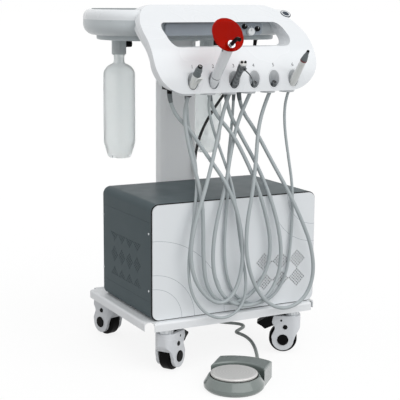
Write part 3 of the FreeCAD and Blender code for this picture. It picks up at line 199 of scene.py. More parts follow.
def lathe(name, profile, place, material, body, steps=32):
    """A turned piece: the (radius, height) profile is spun about its axis, then put in place."""
    mesh = bpy.data.meshes.new(name)
    bm = bmesh.new()
    spots = [bm.verts.new((radius, 0.0, height)) for radius, height in profile]
    line = [bm.edges.new(pair) for pair in zip(spots, spots[1:])]
    bmesh.ops.spin(bm, geom=spots + line, cent=(0, 0, 0), axis=(0, 0, 1), angle=math.tau,
                   steps=steps, use_merge=True)
    bmesh.ops.remove_doubles(bm, verts=bm.verts, dist=1e-6)
    bmesh.ops.recalc_face_normals(bm, faces=bm.faces)
    bmesh.ops.transform(bm, matrix=place, verts=bm.verts)
    bm.to_mesh(mesh)
    bm.free()
    mesh.shade_smooth()
    mesh.set_sharp_from_angle(angle=math.radians(40))
    return fitted(name, mesh, material, body)


def bar(name, size, place, material, body, round_off=0.0002):
    """A small block with softened edges."""
    mesh = bpy.data.meshes.new(name)
    bm = bmesh.new()
    bmesh.ops.create_cube(bm, size=1.0)
    bmesh.ops.scale(bm, vec=size, verts=bm.verts)
    bmesh.ops.bevel(bm, geom=bm.edges[:], offset=round_off, segments=2, profile=0.5,
                    affect="EDGES", material=-1)
    bmesh.ops.transform(bm, matrix=place, verts=bm.verts)
    bm.to_mesh(mesh)
    bm.free()
    return fitted(name, mesh, material, body)


# --- Wheeled deck -----------------------------------------------------------------------
# One folded tray of sheet steel with a turned-down skirt, powder coated white, on which the
# cabinet stands. The coat is baked on, so it is a little wavy like the skin of an orange.

dress(coated_steel("white_powder_coat", "#EDEFF1", "#E6E9EC"), "platform")


# --- Cabinet ----------------------------------------------------------------------------
# Lower pan, side panels and top cover of 1.5 mm sheet, screwed into one sleeve and powder
# coated slate grey. The front is a white coated panel in a gasket coloured black as painted
# shadow of the gap round it. Front and sides are pierced by vents.

SIDES = ((-1, "left"), (1, "right"))
HOLES_BEGIN = -0.0972                      # just behind the front panel's face
FRONT_VENT, FRONT_VENT_HALF = (0.136, 0.233), (0.08, 0.055)
SIDE_VENT = (0.064, 0.266)
FRONT_LOW_LEFT, FRONT_HIGH_RIGHT = (-0.2385, 0.139), (0.2385, 0.4345)
LINE_HALF_WIDTH = 0.00045
PRINTED_ARCS = ((FRONT_LOW_LEFT, 0.082), (FRONT_LOW_LEFT, 0.118), (FRONT_LOW_LEFT, 0.205),
                (FRONT_HIGH_RIGHT, 0.085), (FRONT_HIGH_RIGHT, 0.132))

slate_coat = coated_steel("slate_powder_coat", "#535F63", "#4E5A5E", rough=(0.32, 0.38),
                          depth=0.00001, shine=0.04)
dress(slate_coat, "cabinet_base", "cabinet_cover", "side_panels", "back_panel")
# the gasket is coloured black as painted shadow of the gap round the front panel
dress(moulded("black_gap_shadow", "#0E0F10", "#0A0B0C", 0.62, shine=0.2), "front_gasket")


def printed_panel():
    """White coated sheet with thin grey arcs screen printed round two of its corners, and
    painted shade inside its vent holes.
    """
    material = coated_steel("pearl_powder_coat", "#E5E9EC", "#E0E4E7", rough=(0.3, 0.4))
    tree = material.node_tree
    base = tree.nodes["Principled BSDF"].inputs["Base Color"]
    place = tree.nodes["Texture Coordinate"].outputs["Object"]
    flat = add(tree, "ShaderNodeVectorMath", {0: place, 1: (1.0, 0.0, 1.0)},
               operation="MULTIPLY").outputs["Vector"]
    lines = None
    for (x, z), radius in PRINTED_ARCS:
        far = add(tree, "ShaderNodeVectorMath", {0: flat, 1: (x, 0.0, z)},
                  operation="DISTANCE").outputs["Value"]
        arc = math_node(tree, "COMPARE", far, radius, LINE_HALF_WIDTH)
        lines = arc if lines is None else math_node(tree, "MAXIMUM", lines, arc)
    ink = add(tree, "ShaderNodeMixRGB", {"Fac": lines, "Color1": base.links[0].from_socket,
                                         "Color2": linear("#98A0A6")})
    # painted shade: the walls inside the punched holes are coloured dark, as the shade that
    # falls in them
    span = add(tree, "ShaderNodeSeparateXYZ", {"Vector": place})
    deep = math_node(tree, "GREATER_THAN", span.outputs["Y"], HOLES_BEGIN)
    wide = math_node(tree, "COMPARE", span.outputs["X"], FRONT_VENT[0], FRONT_VENT_HALF[0])
    high = math_node(tree, "COMPARE", span.outputs["Z"], FRONT_VENT[1], FRONT_VENT_HALF[1])
    hole_shade_mask = math_node(tree, "MULTIPLY", math_node(tree, "MULTIPLY", wide, high), deep)
    hole_shade = add(tree, "ShaderNodeMixRGB", {"Fac": hole_shade_mask, "Color1": ink.outputs["Color"],
                                           "Color2": linear("#1D2022")})
    tree.links.new(hole_shade.outputs["Color"], base)
    return material


dress(printed_panel(), "front_panel")

# pan-head screws in two rows on each side and at the back panel's corners
PAN_HEAD = [(0, 0.0009), (0.0011, 0.0009), (0.0013, 0.0018), (0.0022, 0.0015), (0.0029, 0.0008),
            (0.0031, -0.0004)]
SIDE_FACE, SIDE_SCREW_YS, SIDE_SCREW_ZS = 0.241, (-0.0795, 0.2115), (0.2135, 0.3608)
BACK_FACE, BACK_SCREW_X, BACK_SCREW_ZS = 0.2075, 0.205, (0.175, 0.4)
screw_steel = moulded("nickel_plated_screw", "#C9CCCE", "#B4B7BA", 0.3, metal=1.0)


def screw(name, spot, way):
    lathe(name, PAN_HEAD, facing(spot, way), screw_steel, "root", steps=20)


for side, hand in SIDES:
    for y in SIDE_SCREW_YS:
        for z in SIDE_SCREW_ZS:
            screw("side_screw_%s_%d_%d" % (hand, 1000 * abs(y), 1000 * z),
                  (side * SIDE_FACE, y, z), (side, 0, 0))
    for z in BACK_SCREW_ZS:
        screw("back_screw_%s_%d" % (hand, 1000 * z), (side * BACK_SCREW_X, BACK_FACE, z),
              (0, 1, 0))

# black sheets inside the panels behind the vents: painted shade, dark sheets standing in for the
# shade inside the cabinet
shade_sheet = moulded("black_shade_sheet", "#0D0E0F", "#070708", 0.9, grain=0.0012, depth=0.0004,
               shine=0.1)
SHEET_THICK, BEHIND_FRONT, INSIDE_SIDE = 0.0015, -0.0925, 0.2384
bar("front_shade_sheet", (0.17, SHEET_THICK, 0.115),
    shift(FRONT_VENT[0], BEHIND_FRONT, FRONT_VENT[1]), shade_sheet, "root")
for side, hand in SIDES:
    bar("side_shade_sheet_" + hand, (SHEET_THICK, 0.21, 0.135),
        shift(side * INSIDE_SIDE, *SIDE_VENT), shade_sheet, "root")


# --- Compressor and air tank ------------------------------------------------------------
# An oil-free compressor of cast iron and a welded air tank on saddles, painted grey. Both
# stand on the cabinet's floor, hidden behind the black sheets of painted shade at the vents.

dress(moulded("cast_iron", "#5B5D5F", "#4A4C4E", 0.7, grain=0.002, depth=0.0002), "compressor")
dress(coated_steel("tank_enamel", "#C0C2C2", "#B6B9B9"), "air_tank")


# --- Column and bracket -----------------------------------------------------------------
# A rectangular steel tube with round edges, powder coated light grey, that stands on the deck
# behind the cabinet with a foot flange. A folded bracket under the tray takes its head.

dress(coated_steel("silver_grey_powder_coat", "#EFF1F2", "#EAECEE", rough=(0.32, 0.42)),
      "column", "column_bracket")


# --- Tray and control panel -------------------------------------------------------------
# Two boat-shaped shells of white ABS on a grey bottom cover, screwed on from below, with a
# grey silicone mat in the sunk deck and a grey control panel with three knobs on the front.

white_abs = moulded("glossy_white_abs", "#ECEFF2", "#E7EBEE", 0.26, grain=0.0015,
                    depth=0.000004, coat=0.15)
black_abs = moulded("black_abs", "#050506", "#030303", 0.4, shine=0.12)
dress(white_abs, "tray_upper_shell")
# the lower shell is pale grey plastic, coloured darker still as painted shade of the tray's
# underside
dress(moulded("pale_grey_abs_darkened_as_shade", "#C9D0D3", "#C2C9CC", 0.3, grain=0.0015, coat=0.1),
      "tray_lower_shell")
dress(moulded("grey_abs", "#C0C8CB", "#B9C1C4", 0.42), "tray_bottom_plate")
dress(moulded("grey_silicone", "#7F888B", "#767F82", 0.55, grain=0.0012, depth=0.00006),
      "tray_mat")
# the panel is grey plastic, coloured darker than the shell as painted shade from the handle
# frame above it
dress(moulded("slate_abs_and_hood_shade", "#98A1AA", "#9099A2", 0.4), "control_panel")
dress(moulded("white_knob_abs", "#E6E9EB", "#DFE3E5", 0.3, coat=0.2), "knob_water")
dress(black_abs, "knob_air", "knob_cooling")
TRAY_UNDERSIDE, TRAY_SCREW_X, TRAY_SCREW_YS = 0.831, 0.17, (0.1, 0.29)
for side, hand in SIDES:
    for y in TRAY_SCREW_YS:
        screw("tray_screw_%s_%d" % (hand, 1000 * y), (side * TRAY_SCREW_X, y, TRAY_UNDERSIDE),
              (0, 0, -1))


# --- Knob scales and knob marks ---------------------------------------------------------
# White dots printed in an arc round each knob of the control panel, and a pointer line on
# the knob's face that turns with it.

white_ink = moulded("white_screen_ink", "#F0F2F3", "#E8EAEB", 0.5)
grey_ink = moulded("grey_screen_ink", "#3D4449", "#363D42", 0.5)
DOT = [(0, 0.0002), (0.0008, 0.0002), (0.00085, -0.0001)]
DOT_GAP, DOT_TURNS = 0.0025, (-60, -20, 20, 60)
PANEL_FACE, MARK_FACE = 0.03, 0.0297
MARK_WIDTH, MARK_THICK, MARK_ROUND = 0.0012, 0.0004, 0.0001
MARK_LENGTH, MARK_RISE = 0.7, 0.45          # shares of the knob's radius
# each knob's centre, radius, height above the panel and the ink of its mark
KNOBS = {"water": (0.106, 0.855, 0.011, 0.009, grey_ink),
         "air": (0.127, 0.862, 0.007, 0.008, white_ink),
         "cooling": (0.088, 0.868, 0.007, 0.008, white_ink)}
for name, (x, z, radius, proud, ink) in KNOBS.items():
    bar("knob_mark_" + name, (MARK_WIDTH, MARK_THICK, radius * MARK_LENGTH),
        shift(x, MARK_FACE - proud, z + radius * MARK_RISE), ink, "knob_" + name,
        MARK_ROUND)
    for n, turn in enumerate(DOT_TURNS):
        lean, reach = math.radians(turn), radius + DOT_GAP
        lathe("scale_dot_%s_%d" % (name, n), DOT,
              facing((x + reach * math.sin(lean), PANEL_FACE, z + reach * math.cos(lean)),
                     (0, -1, 0)), white_ink, "root", steps=12)


# --- Handle frame -----------------------------------------------------------------------
# Two white ABS shells round the hand opening, with six holder sleeves in their band. An oval
# steel plate in the corner is left blank, and the holders' numbers are printed in grey.

dress(white_abs, "handle_front_shell", "handle_rear_shell", "holder_sleeves")
brushed_plate = moulded("brushed_steel_plate", "#E6E9EB", "#DCE0E3", 0.3, grain=0.0008,
                        metal=0.3)
slate_enamel_and_gap_shade = moulded("slate_enamel_and_gap_shade", "#2B3946", "#24313D", 0.35, shine=0.2)
BADGE_SPOT, BADGE_LEAN, BADGE_OVAL = (0.2185, 0.0354, 0.9009), 32.4, (1.0, 1.15, 1.0, 1.0)
badge_place = shift(*BADGE_SPOT) @ turned(BADGE_LEAN, "X") @ Matrix.Diagonal(BADGE_OVAL)
for name, profile, material in (
        ("badge_plate", [(0, 0.0007), (0.0089, 0.0007), (0.0092, 0.0014), (0.0121, 0.0014),
                         (0.0125, 0.0006), (0.0125, -0.0015)], brushed_plate),
        ("badge_field", [(0, 0.0009), (0.0088, 0.0009), (0.009, 0.0004)], slate_enamel_and_gap_shade),
        # the dark ring round the plate is painted shade, standing in for the shadow of the gap
        # round the badge
        ("badge_gap_shade", [(0.0122, 0.001), (0.0125, 0.0014), (0.0134, 0.0013), (0.0139, 0.0006),
                        (0.0139, -0.0015)], slate_enamel_and_gap_shade)):
    lathe(name, profile, badge_place, material, "root", steps=48)

FIRST_HOLDER, HOLDER_PITCH = -0.133, 0.058
BAND_Y, BAND_Z, BAND_RADIUS = 0.036, 0.73, 0.1445      # the band is bent about this axis
NUMERAL_RISE = math.radians(18)
NUMERAL_SIZE, NUMERAL_THICK = 0.0125, 0.00015
for n in range(6):
    words = bpy.data.curves.new("number_%d" % (n + 1), "FONT")
    words.body = str(n + 1)
    words.size = NUMERAL_SIZE
    words.extrude = NUMERAL_THICK
    words.align_x, words.align_y = "CENTER", "CENTER"
    flat = as_piece("flat_number", words)
    bpy.context.view_layer.update()
    mesh = bpy.data.meshes.new_from_object(flat)
    bpy.data.objects.remove(flat)
    mesh.transform(shift(FIRST_HOLDER + HOLDER_PITCH * n,
                         BAND_Y - BAND_RADIUS * math.cos(NUMERAL_RISE),
                         BAND_Z + BAND_RADIUS * math.sin(NUMERAL_RISE))
                   @ Matrix.Rotation(math.pi / 2 - NUMERAL_RISE, 4, "X"))
    mesh.materials.clear()
    fitted("holder_number_%d" % (n + 1), mesh, grey_ink, "root")


# --- Water bottles ----------------------------------------------------------------------
# Two one-litre bottles of translucent polyethylene, blown with a petal foot, screwed into
# pale moulded caps under the tray.

def blown_bottle():
    """Milky polyethylene: light soaks through the wall, and the wall is a little uneven."""
    material, tree, place = new_material("milky_polyethylene")
    wall = noise(tree, place, 0.03, 2.0)
    shade(tree, {"Base Color": between(tree, wall, "#F8FBFB", "#FDFEFE"), "Roughness": 0.9,
                 "Normal": relief(tree, wall, 0.3, 0.0008), "Transmission Weight": 0.7,
                 "IOR": 1.12})
    return material


dress(blown_bottle(), "bottle_left", "bottle_right")
dress(moulded("pale_polypropylene", "#CFD5D6", "#C8CED0", 0.36), "bottle_caps")


# --- Casters ----------------------------------------------------------------------------
# Four 75 mm swivel casters: a white nylon hood on a zinc-plated collar, over a black
# polyurethane wheel. A black pedal on the front pair presses a shoe on the tread.

dress(moulded("white_nylon", "#DDE0E4", "#D6D9DD", 0.3, coat=0.15), *nodes_named("caster_hood"))
dress(moulded("black_polyurethane", "#050506", "#030303", 0.5, depth=0.00005, shine=0.08),
      *nodes_named("wheel_"))
dress(black_abs, *nodes_named("brake_pedal"))
dress(turned_steel("zinc_plated_steel", "#C9CCCE", "#B4B8BB", 0.34), "caster_collars")

# each caster's stem, and how far it has swivelled in degrees
CASTERS = {"front_left": (-0.1965, -0.088, 34.7), "front_right": (0.1795, -0.088, 147.5),
           "rear_left": (-0.1965, 0.26, 105.5), "rear_right": (0.1795, 0.26, 78.0)}
BOLT = [(0, 0.0012), (0.0024, 0.0012), (0.0030, 0.0026), (0.0052, 0.0024), (0.0062, 0.0012),
        (0.0063, -0.002)]
BOLT_TRAIL, CHEEK_FACE, BOLT_HEIGHT = 0.016, 0.027, 0.073
SWIVEL_RING = [(0.0095, 0.0001), (0.0185, 0.0001), (0.0195, -0.0006), (0.0195, -0.0016)]
HOOD_TOP = 0.1032
for name, (x, y, swivel) in CASTERS.items():
    stand = shift(x, y, 0) @ turned(swivel, "Z")
    for side, mark in ((-1, "a"), (1, "b")):
        lathe("hood_bolt_%s_%s" % (name, mark), BOLT,
              stand @ facing((BOLT_TRAIL, side * CHEEK_FACE, BOLT_HEIGHT), (0, side, 0)),
              black_abs, "caster_" + name, steps=24)
    lathe("swivel_ring_" + name, SWIVEL_RING, stand @ shift(0, 0, HOOD_TOP), black_abs,
          "caster_" + name)


# --- Foot control -----------------------------------------------------------------------
# A cast bowl with a sprung steel disc in it that opens the air valve, and the valve block
# behind it, enamelled grey.

DISC_CENTRE = (-0.103, -0.2775, 0)
dress(moulded("grey_gloss_enamel", "#7C8582", "#747D7A", 0.22, grain=0.002, depth=0.00001,
              coat=0.6), "pedal_base")
dress(turned_steel("spun_steel", "#E1E0DE", "#DAD9D7", 0.42, centre=DISC_CENTRE, metal=0.5),
      "pedal_disc")


# --- Instruments ------------------------------------------------------------------------
# Suction handle, curing light, three-way syringe, two turbine couplings and a scaler, each
# leaning in its holder: moulded ABS grips, turned steel and a red acrylic light shield.

polished = turned_steel("polished_stainless", "#D6D8DA", "#C3C6C9", 0.2)
burnished = turned_steel("burnished_steel", "#74787A", "#585C5E", 0.32)
ivory_abs = moulded("ivory_abs", "#E8EAE8", "#E0E3E1", 0.3, coat=0.2)
grey_nylon = moulded("grey_nylon", "#6B7375", "#62696C", 0.42)
dress(ivory_abs, "suction_handle", "suction_lever", "scaler_handle")
dress(white_abs, "light_body")
dress(black_abs, "light_tip", "syringe_button_air", "syringe_button_water")
dress(moulded("grey_switch_rubber", "#8D9698", "#848D8F", 0.5), "light_button")
dress(burnished, "syringe", "highspeed_coupling", "lowspeed_coupling")


def red_shield():
    """Orange-red acrylic that stops the blue curing light: clear, glossy, deep at the rim."""
    material, tree, place = new_material("red_acrylic")
    cloud = noise(tree, place, 0.04, 1.0)
    shade(tree, {"Base Color": between(tree, cloud, "#B40E00", "#C01400"), "Roughness": 0.12,
                 "IOR": 1.15, "Specular IOR Level": 0.04, "Transmission Weight": 0.45})
    return material


dress(red_shield(), "light_shield")

HOLDER_LEAN = 40
HOLDER_Y, HOLDER_Z, HOLDER_BORE = -0.108, 0.742, 0.0152
LEAN = math.radians(HOLDER_LEAN)
UNDER = Vector((0, -math.cos(LEAN), -math.sin(LEAN)))      # towards the low side of its bore
# an instrument lies on the low side of its bore, so its grip's radius says where its axis is
GRIPS = (("suction", 0.010), ("curing_light", 0.0125), ("syringe", 0.009),
         ("highspeed", 0.007), ("lowspeed", 0.007), ("scaler", 0.009))
AT = {}
for n, (name, grip) in enumerate(GRIPS):
    spot = Vector((FIRST_HOLDER + HOLDER_PITCH * n, HOLDER_Y, HOLDER_Z))
    AT[name] = (Matrix.Translation(spot + UNDER * (HOLDER_BORE - grip))
                @ turned(HOLDER_LEAN, "X"))

# suction handle: a stepped nozzle with a black rim, and the black fitting at its tail
lathe("suction_nozzle", [(0.0034, 0.036), (0.0034, 0.0522), (0.0046, 0.0524), (0.0056, 0.0516),
                         (0.0064, 0.0466), (0.0076, 0.0462), (0.0079, 0.0408), (0.009, 0.0404),
                         (0.0093, 0.0345), (0.0092, 0.0282), (0.0104, 0.0262),
                         (0.0104, 0.0235), (0.0101, 0.0235)],
      AT["suction"], grey_nylon, "suction")
lathe("suction_rim", [(0.0035, 0.0521), (0.0037, 0.053), (0.0042, 0.0534), (0.0054, 0.0532),
                      (0.0059, 0.0526), (0.0062, 0.0498), (0.0059, 0.0496)],
      AT["suction"], black_abs, "suction")
lathe("suction_fitting", [(0.0081, -0.0285), (0.0088, -0.029), (0.0088, -0.0445),
                          (0.0078, -0.0452), (0.0052, -0.0452)],
      AT["suction"], black_abs, "suction")

# curing light: a steel collar at its bent head, and a seam and a small contact at its tail
HEAD_HEIGHT, HEAD_BEND = 0.112, 22
CONTACT_SIZE, CONTACT_SPOT = (0.0012, 0.005, 0.008), (0.0117, -0.0005, 0.01)
lathe("light_collar", [(0.0102, 0.0028), (0.01025, 0.0148), (0.0096, 0.0163),
                       (0.0066, 0.01635), (0.0062, 0.0158)],
      AT["curing_light"] @ shift(0, 0, HEAD_HEIGHT) @ turned(HEAD_BEND, "X"), polished,
      "curing_light")
lathe("light_seam", [(0.01172, 0.0115), (0.0119, 0.0119), (0.0119, 0.0127), (0.01175, 0.0131)],
      AT["curing_light"], grey_ink, "curing_light")
bar("light_contact", CONTACT_SIZE, AT["curing_light"] @ shift(*CONTACT_SPOT), grey_ink,
    "curing_light", round_off=0.0005)

# three-way syringe: an ivory cap under its head
lathe("syringe_cap", [(0.0, 0.0626), (0.0014, 0.0626), (0.0014, 0.0621), (0.0088, 0.0622),
                      (0.0097, 0.0608), (0.0098, 0.0575), (0.0096, 0.057)],
      AT["syringe"], ivory_abs, "syringe")

# the face of each turbine coupling: a black rubber gasket round four steel tubes
TUBE_CIRCLE, TUBE_ANGLES = 0.0032, (0.4, 1.9, 3.5, 5.1)
TUBE = [(0.0006, -0.0046), (0.0006, -0.0038), (0.0010, -0.0038), (0.0011, -0.0046)]
for name in ("highspeed", "lowspeed"):
    lathe(name + "_gasket", [(0, -0.0044), (0.0049, -0.0044), (0.0052, -0.0047),
                             (0.0052, -0.0052)],
          AT[name], black_abs, name)
    for n, angle in enumerate(TUBE_ANGLES):
        across = shift(TUBE_CIRCLE * math.cos(angle), TUBE_CIRCLE * math.sin(angle), 0)
        lathe("%s_tube_%d" % (name, n), TUBE, AT[name] @ across, polished, name,
              steps=16)

# scaler: a dark red ring, a stepped grey nose and the black seat of the working tip
lathe("scaler_ring", [(0.0079, 0.0632), (0.0087, 0.0634), (0.0088, 0.0664), (0.0084, 0.0668)],
      AT["scaler"], moulded("dark_red_silicone", "#7A2A2E", "#6E2327", 0.45), "scaler")
nose = lathe("scaler_nose", [(0, 0.0663), (0.008, 0.0663), (0.0083, 0.0675), (0.0082, 0.0712),
                             (0.0077, 0.0724), (0.0063, 0.0822), (0.0057, 0.0828),
                             (0.0043, 0.0898), (0.0041, 0.0942), (0.0035, 0.0948)],
             AT["scaler"], grey_nylon, None)
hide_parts("scaler_tip")
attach(nose, "scaler")
lathe("scaler_seat", [(0.0036, 0.094), (0.0036, 0.0972), (0.0031, 0.0977), (0.0017, 0.0977),
                      (0.0016, 0.0962), (0, 0.0962)],
      AT["scaler"], black_abs, "scaler", steps=24)


# --- Instrument hoses -------------------------------------------------------------------
# Six grey silicone-rubber hoses, each from the tail of its instrument in a loop down the
# cabinet's front and back up to the manifold behind the band, with a rubber sleeve there.

def line_of(name, route):
    """The hose's centreline: a smooth spline drawn by its route points."""
    curve = bpy.data.curves.new(name, "CURVE")
    curve.dimensions = "3D"
    curve.resolution_u = 10
    spline = curve.splines.new("NURBS")
    spline.points.add(len(route) - 1)
    for spot, corner in zip(spline.points, route):
        spot.co = (*corner, 1.0)
    spline.order_u = 3
    spline.use_endpoint_u = True
    piece = as_piece(name, curve)
    bpy.context.view_layer.update()
    bare = bpy.data.meshes.new_from_object(piece)
    return piece, [Vector(v.co) for v in bare.vertices]


def thicken(curve, radius, material):
    """A round tube of one material along a curve."""
    curve.bevel_depth = radius
    curve.bevel_resolution = 5
    curve.use_fill_caps = True
    curve.materials.append(material)


def length_of(path):
    return sum((b - a).length for a, b in zip(path, path[1:]))


def sleeve(name, path, reach, wide, narrow, material):
    """A rubber sleeve on the first stretch of a path, tapered to bend with the hose."""
    curve = bpy.data.curves.new(name, "CURVE")
    curve.dimensions = "3D"
    kept, gone = [(path[0], 0.0)], 0.0
    for before, here in zip(path, path[1:]):
        gone += (here - before).length
        if gone > reach:
            break
        kept.append((here, gone))
    spline = curve.splines.new("POLY")
    spline.points.add(len(kept) - 1)
    for spot, (here, far) in zip(spline.points, kept):
        spot.co = (*here, 1.0)
        spot.radius = 1.0 + (narrow / wide - 1.0) * far / reach
    thicken(curve, wide, material)
    piece = as_piece(name, curve)
    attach(piece, "root")
    return piece


grey_hose = moulded("grey_silicone_hose", "#ADB5B7", "#A4ACAF", 0.36, grain=0.001)
WIDE, THIN = 0.005, 0.00375                # radii of the hoses
BOOT_REACH, BOOT_WALL, BOOT_LIP = 0.024, 0.0016, 0.0003
END_SLACK, END_START, END_RINGS = 0.0001, 0.004, 24
# each hose: its CAD piece, its radius, its instrument, how deep it goes in, and its route
HOSES = {
    "suction_hose": ("hose_1", WIDE, "suction", 0.06, [
        (-0.133, -0.0844, 0.7027), (-0.133, -0.0589, 0.6723), (-0.136, -0.077, 0.603),
        (-0.122, -0.093, 0.526), (-0.107, -0.109, 0.449), (-0.105, -0.114, 0.374),
        (-0.106, -0.116, 0.29), (-0.097, -0.116, 0.218), (-0.061, -0.1155, 0.171),
        (-0.005, -0.1155, 0.161), (0.05, -0.116, 0.191), (0.086, -0.116, 0.248),
        (0.093, -0.117, 0.317), (0.075, -0.118, 0.394), (0.051, -0.113, 0.468),
        (0.024, -0.101, 0.535), (-0.01, -0.089, 0.603), (-0.053, -0.049, 0.664),
        (-0.055, -0.047, 0.7057)]),
    "light_hose": ("hose_2", THIN, "curing_light", 0.05, [
        (-0.075, -0.0993, 0.7228), (-0.075, -0.0738, 0.6924), (-0.059, -0.067, 0.624),
        (-0.031, -0.073, 0.547), (-0.015, -0.102, 0.471), (-0.009, -0.117, 0.389),
        (0.003, -0.12, 0.301), (0.015, -0.13, 0.217), (-0.001, -0.137, 0.157),
        (-0.052, -0.137, 0.13), (-0.111, -0.136, 0.151), (-0.149, -0.131, 0.209),
        (-0.154, -0.125, 0.282), (-0.139, -0.118, 0.367), (-0.12, -0.103, 0.446),
        (-0.104, -0.074, 0.52), (-0.113, -0.053, 0.594), (-0.12, -0.047, 0.665),
        (-0.121, -0.047, 0.7057)]),
    "syringe_hose": ("hose_3", WIDE, "syringe", 0.05, [
        (-0.017, -0.0868, 0.7072), (-0.017, -0.0613, 0.6768), (-0.049, -0.089, 0.611),
        (-0.077, -0.106, 0.535), (-0.108, -0.124, 0.462), (-0.139, -0.133, 0.388),
        (-0.154, -0.136, 0.314), (-0.143, -0.137, 0.246), (-0.104, -0.137, 0.191),
        (-0.058, -0.137, 0.17), (-0.02, -0.136, 0.202), (0.001, -0.132, 0.268),
        (-0.001, -0.129, 0.344), (-0.018, -0.127, 0.42), (-0.046, -0.119, 0.487),
        (-0.079, -0.083, 0.549), (-0.116, -0.061, 0.613), (-0.165, -0.048, 0.665),
        (-0.168, -0.047, 0.7057)]),
    "highspeed_hose": ("hose_4", WIDE, "highspeed", 0.014, [
        (0.041, -0.098, 0.7174), (0.041, -0.0725, 0.687), (0.013, -0.068, 0.621),
        (-0.016, -0.088, 0.544), (-0.039, -0.11, 0.473), (-0.066, -0.118, 0.4),
        (-0.084, -0.125, 0.322), (-0.081, -0.126, 0.244), (-0.051, -0.126, 0.183),
        (0.006, -0.126, 0.153), (0.068, -0.126, 0.161), (0.11, -0.125, 0.21),
        (0.124, -0.122, 0.282), (0.114, -0.117, 0.361), (0.092, -0.107, 0.441),
        (0.064, -0.086, 0.52), (0.027, -0.066, 0.594), (-0.005, -0.048, 0.664),
        (-0.008, -0.047, 0.7057)]),
    "lowspeed_hose": ("hose_5", WIDE, "lowspeed", 0.014, [
        (0.099, -0.098, 0.7174), (0.099, -0.0725, 0.687), (0.072, -0.079, 0.62),
        (0.05, -0.108, 0.541), (0.029, -0.129, 0.456), (0.008, -0.137, 0.377),
        (0.005, -0.14, 0.297), (0.026, -0.14, 0.22), (0.07, -0.138, 0.158),
        (0.13, -0.137, 0.133), (0.188, -0.137, 0.155), (0.217, -0.136, 0.214),
        (0.211, -0.133, 0.291), (0.18, -0.128, 0.369), (0.145, -0.113, 0.447),
        (0.107, -0.089, 0.526), (0.073, -0.064, 0.603), (0.033, -0.048, 0.664),
        (0.03, -0.047, 0.7057)]),
    "scaler_hose": ("hose_6", THIN, "scaler", 0.05, [
        (0.157, -0.0965, 0.7187), (0.157, -0.071, 0.6883), (0.153, -0.073, 0.621),
        (0.159, -0.086, 0.54), (0.165, -0.102, 0.46), (0.164, -0.106, 0.379),
        (0.16, -0.106, 0.293), (0.148, -0.106, 0.216), (0.113, -0.106, 0.164),
        (0.056, -0.106, 0.147), (0, -0.106, 0.169), (-0.031, -0.106, 0.225),
        (-0.041, -0.106, 0.302), (-0.037, -0.106, 0.385), (-0.029, -0.104, 0.455),
        (-0.008, -0.062, 0.526), (0.01, -0.044, 0.596), (0.015, -0.046, 0.664),
        (0.016, -0.047, 0.7057)]),
}
for name, (node, radius, instrument, tail, route) in HOSES.items():
    piece, path = line_of(name, route)
    thicken(piece.data, radius, grey_hose)
    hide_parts(node)
    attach(piece, "root")
    boot = sleeve(name + "_boot", path[::-1], BOOT_REACH, radius + BOOT_WALL,
                  radius + BOOT_LIP, grey_nylon)
    # the hose's end inside the instrument: it draws out when the instrument is lifted
    inner = radius - END_SLACK
    wall = [(inner, -END_START + (tail + END_START) * n / END_RINGS)
            for n in range(END_RINGS + 1)]
    stretch = lathe(name + "_end", [(0, -END_START)] + wall + [(0, tail)],
                    Matrix.Translation(route[0]) @ turned(HOLDER_LEAN, "X"), grey_hose, None,
                    steps=24)
    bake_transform(stretch)


# --- Supply hoses -----------------------------------------------------------------------
# The umbilical hose feeds air from the cabinet's back up into the tray in smooth black
# rubber; the foot control's lead is a ribbed grey hose that lies on the floor.

def ribbed(name, path, radius, pitch, depth, material):
    """A corrugated hose: one ring drawn along the path, wide and narrow by turns."""
    mesh = bpy.data.meshes.new(name)
    bm = bmesh.new()
    bmesh.ops.create_circle(bm, segments=16, radius=radius)
    way = (path[1] - path[0]).normalized()
    bmesh.ops.transform(bm, matrix=facing(path[0], way), verts=bm.verts)
    ring, here, at, wide, gone = bm.edges[:], path[0], 0, radius, 0.0
    total = length_of(path)
    while gone + pitch / 2 < total:
        gone += pitch / 2
        left = pitch / 2
        before = here
        while left > (path[at + 1] - here).length:
            left -= (path[at + 1] - here).length
            at += 1
            here = path[at]
        here = here + (path[at + 1] - here).normalized() * left
        ahead = (path[at + 1] - path[at]).normalized()
        turn = way.rotation_difference(ahead).to_matrix().to_4x4()
        way = ahead
        size = radius - depth if wide == radius else radius
        grown = bmesh.ops.extrude_edge_only(bm, edges=ring)["geom"]
        verts = [v for v in grown if isinstance(v, bmesh.types.BMVert)]
        ring = [e for e in grown if isinstance(e, bmesh.types.BMEdge)]
        bmesh.ops.transform(bm, matrix=Matrix.Translation(here) @ turn
                            @ Matrix.Scale(size / wide, 4) @ Matrix.Translation(-before),
                            verts=verts)
        wide = size
    bmesh.ops.holes_fill(bm, edges=bm.edges, sides=16)
    bmesh.ops.recalc_face_normals(bm, faces=bm.faces)
    bm.to_mesh(mesh)
    bm.free()
    mesh.shade_smooth()
    mesh.materials.append(material)
    return as_piece(name, mesh)


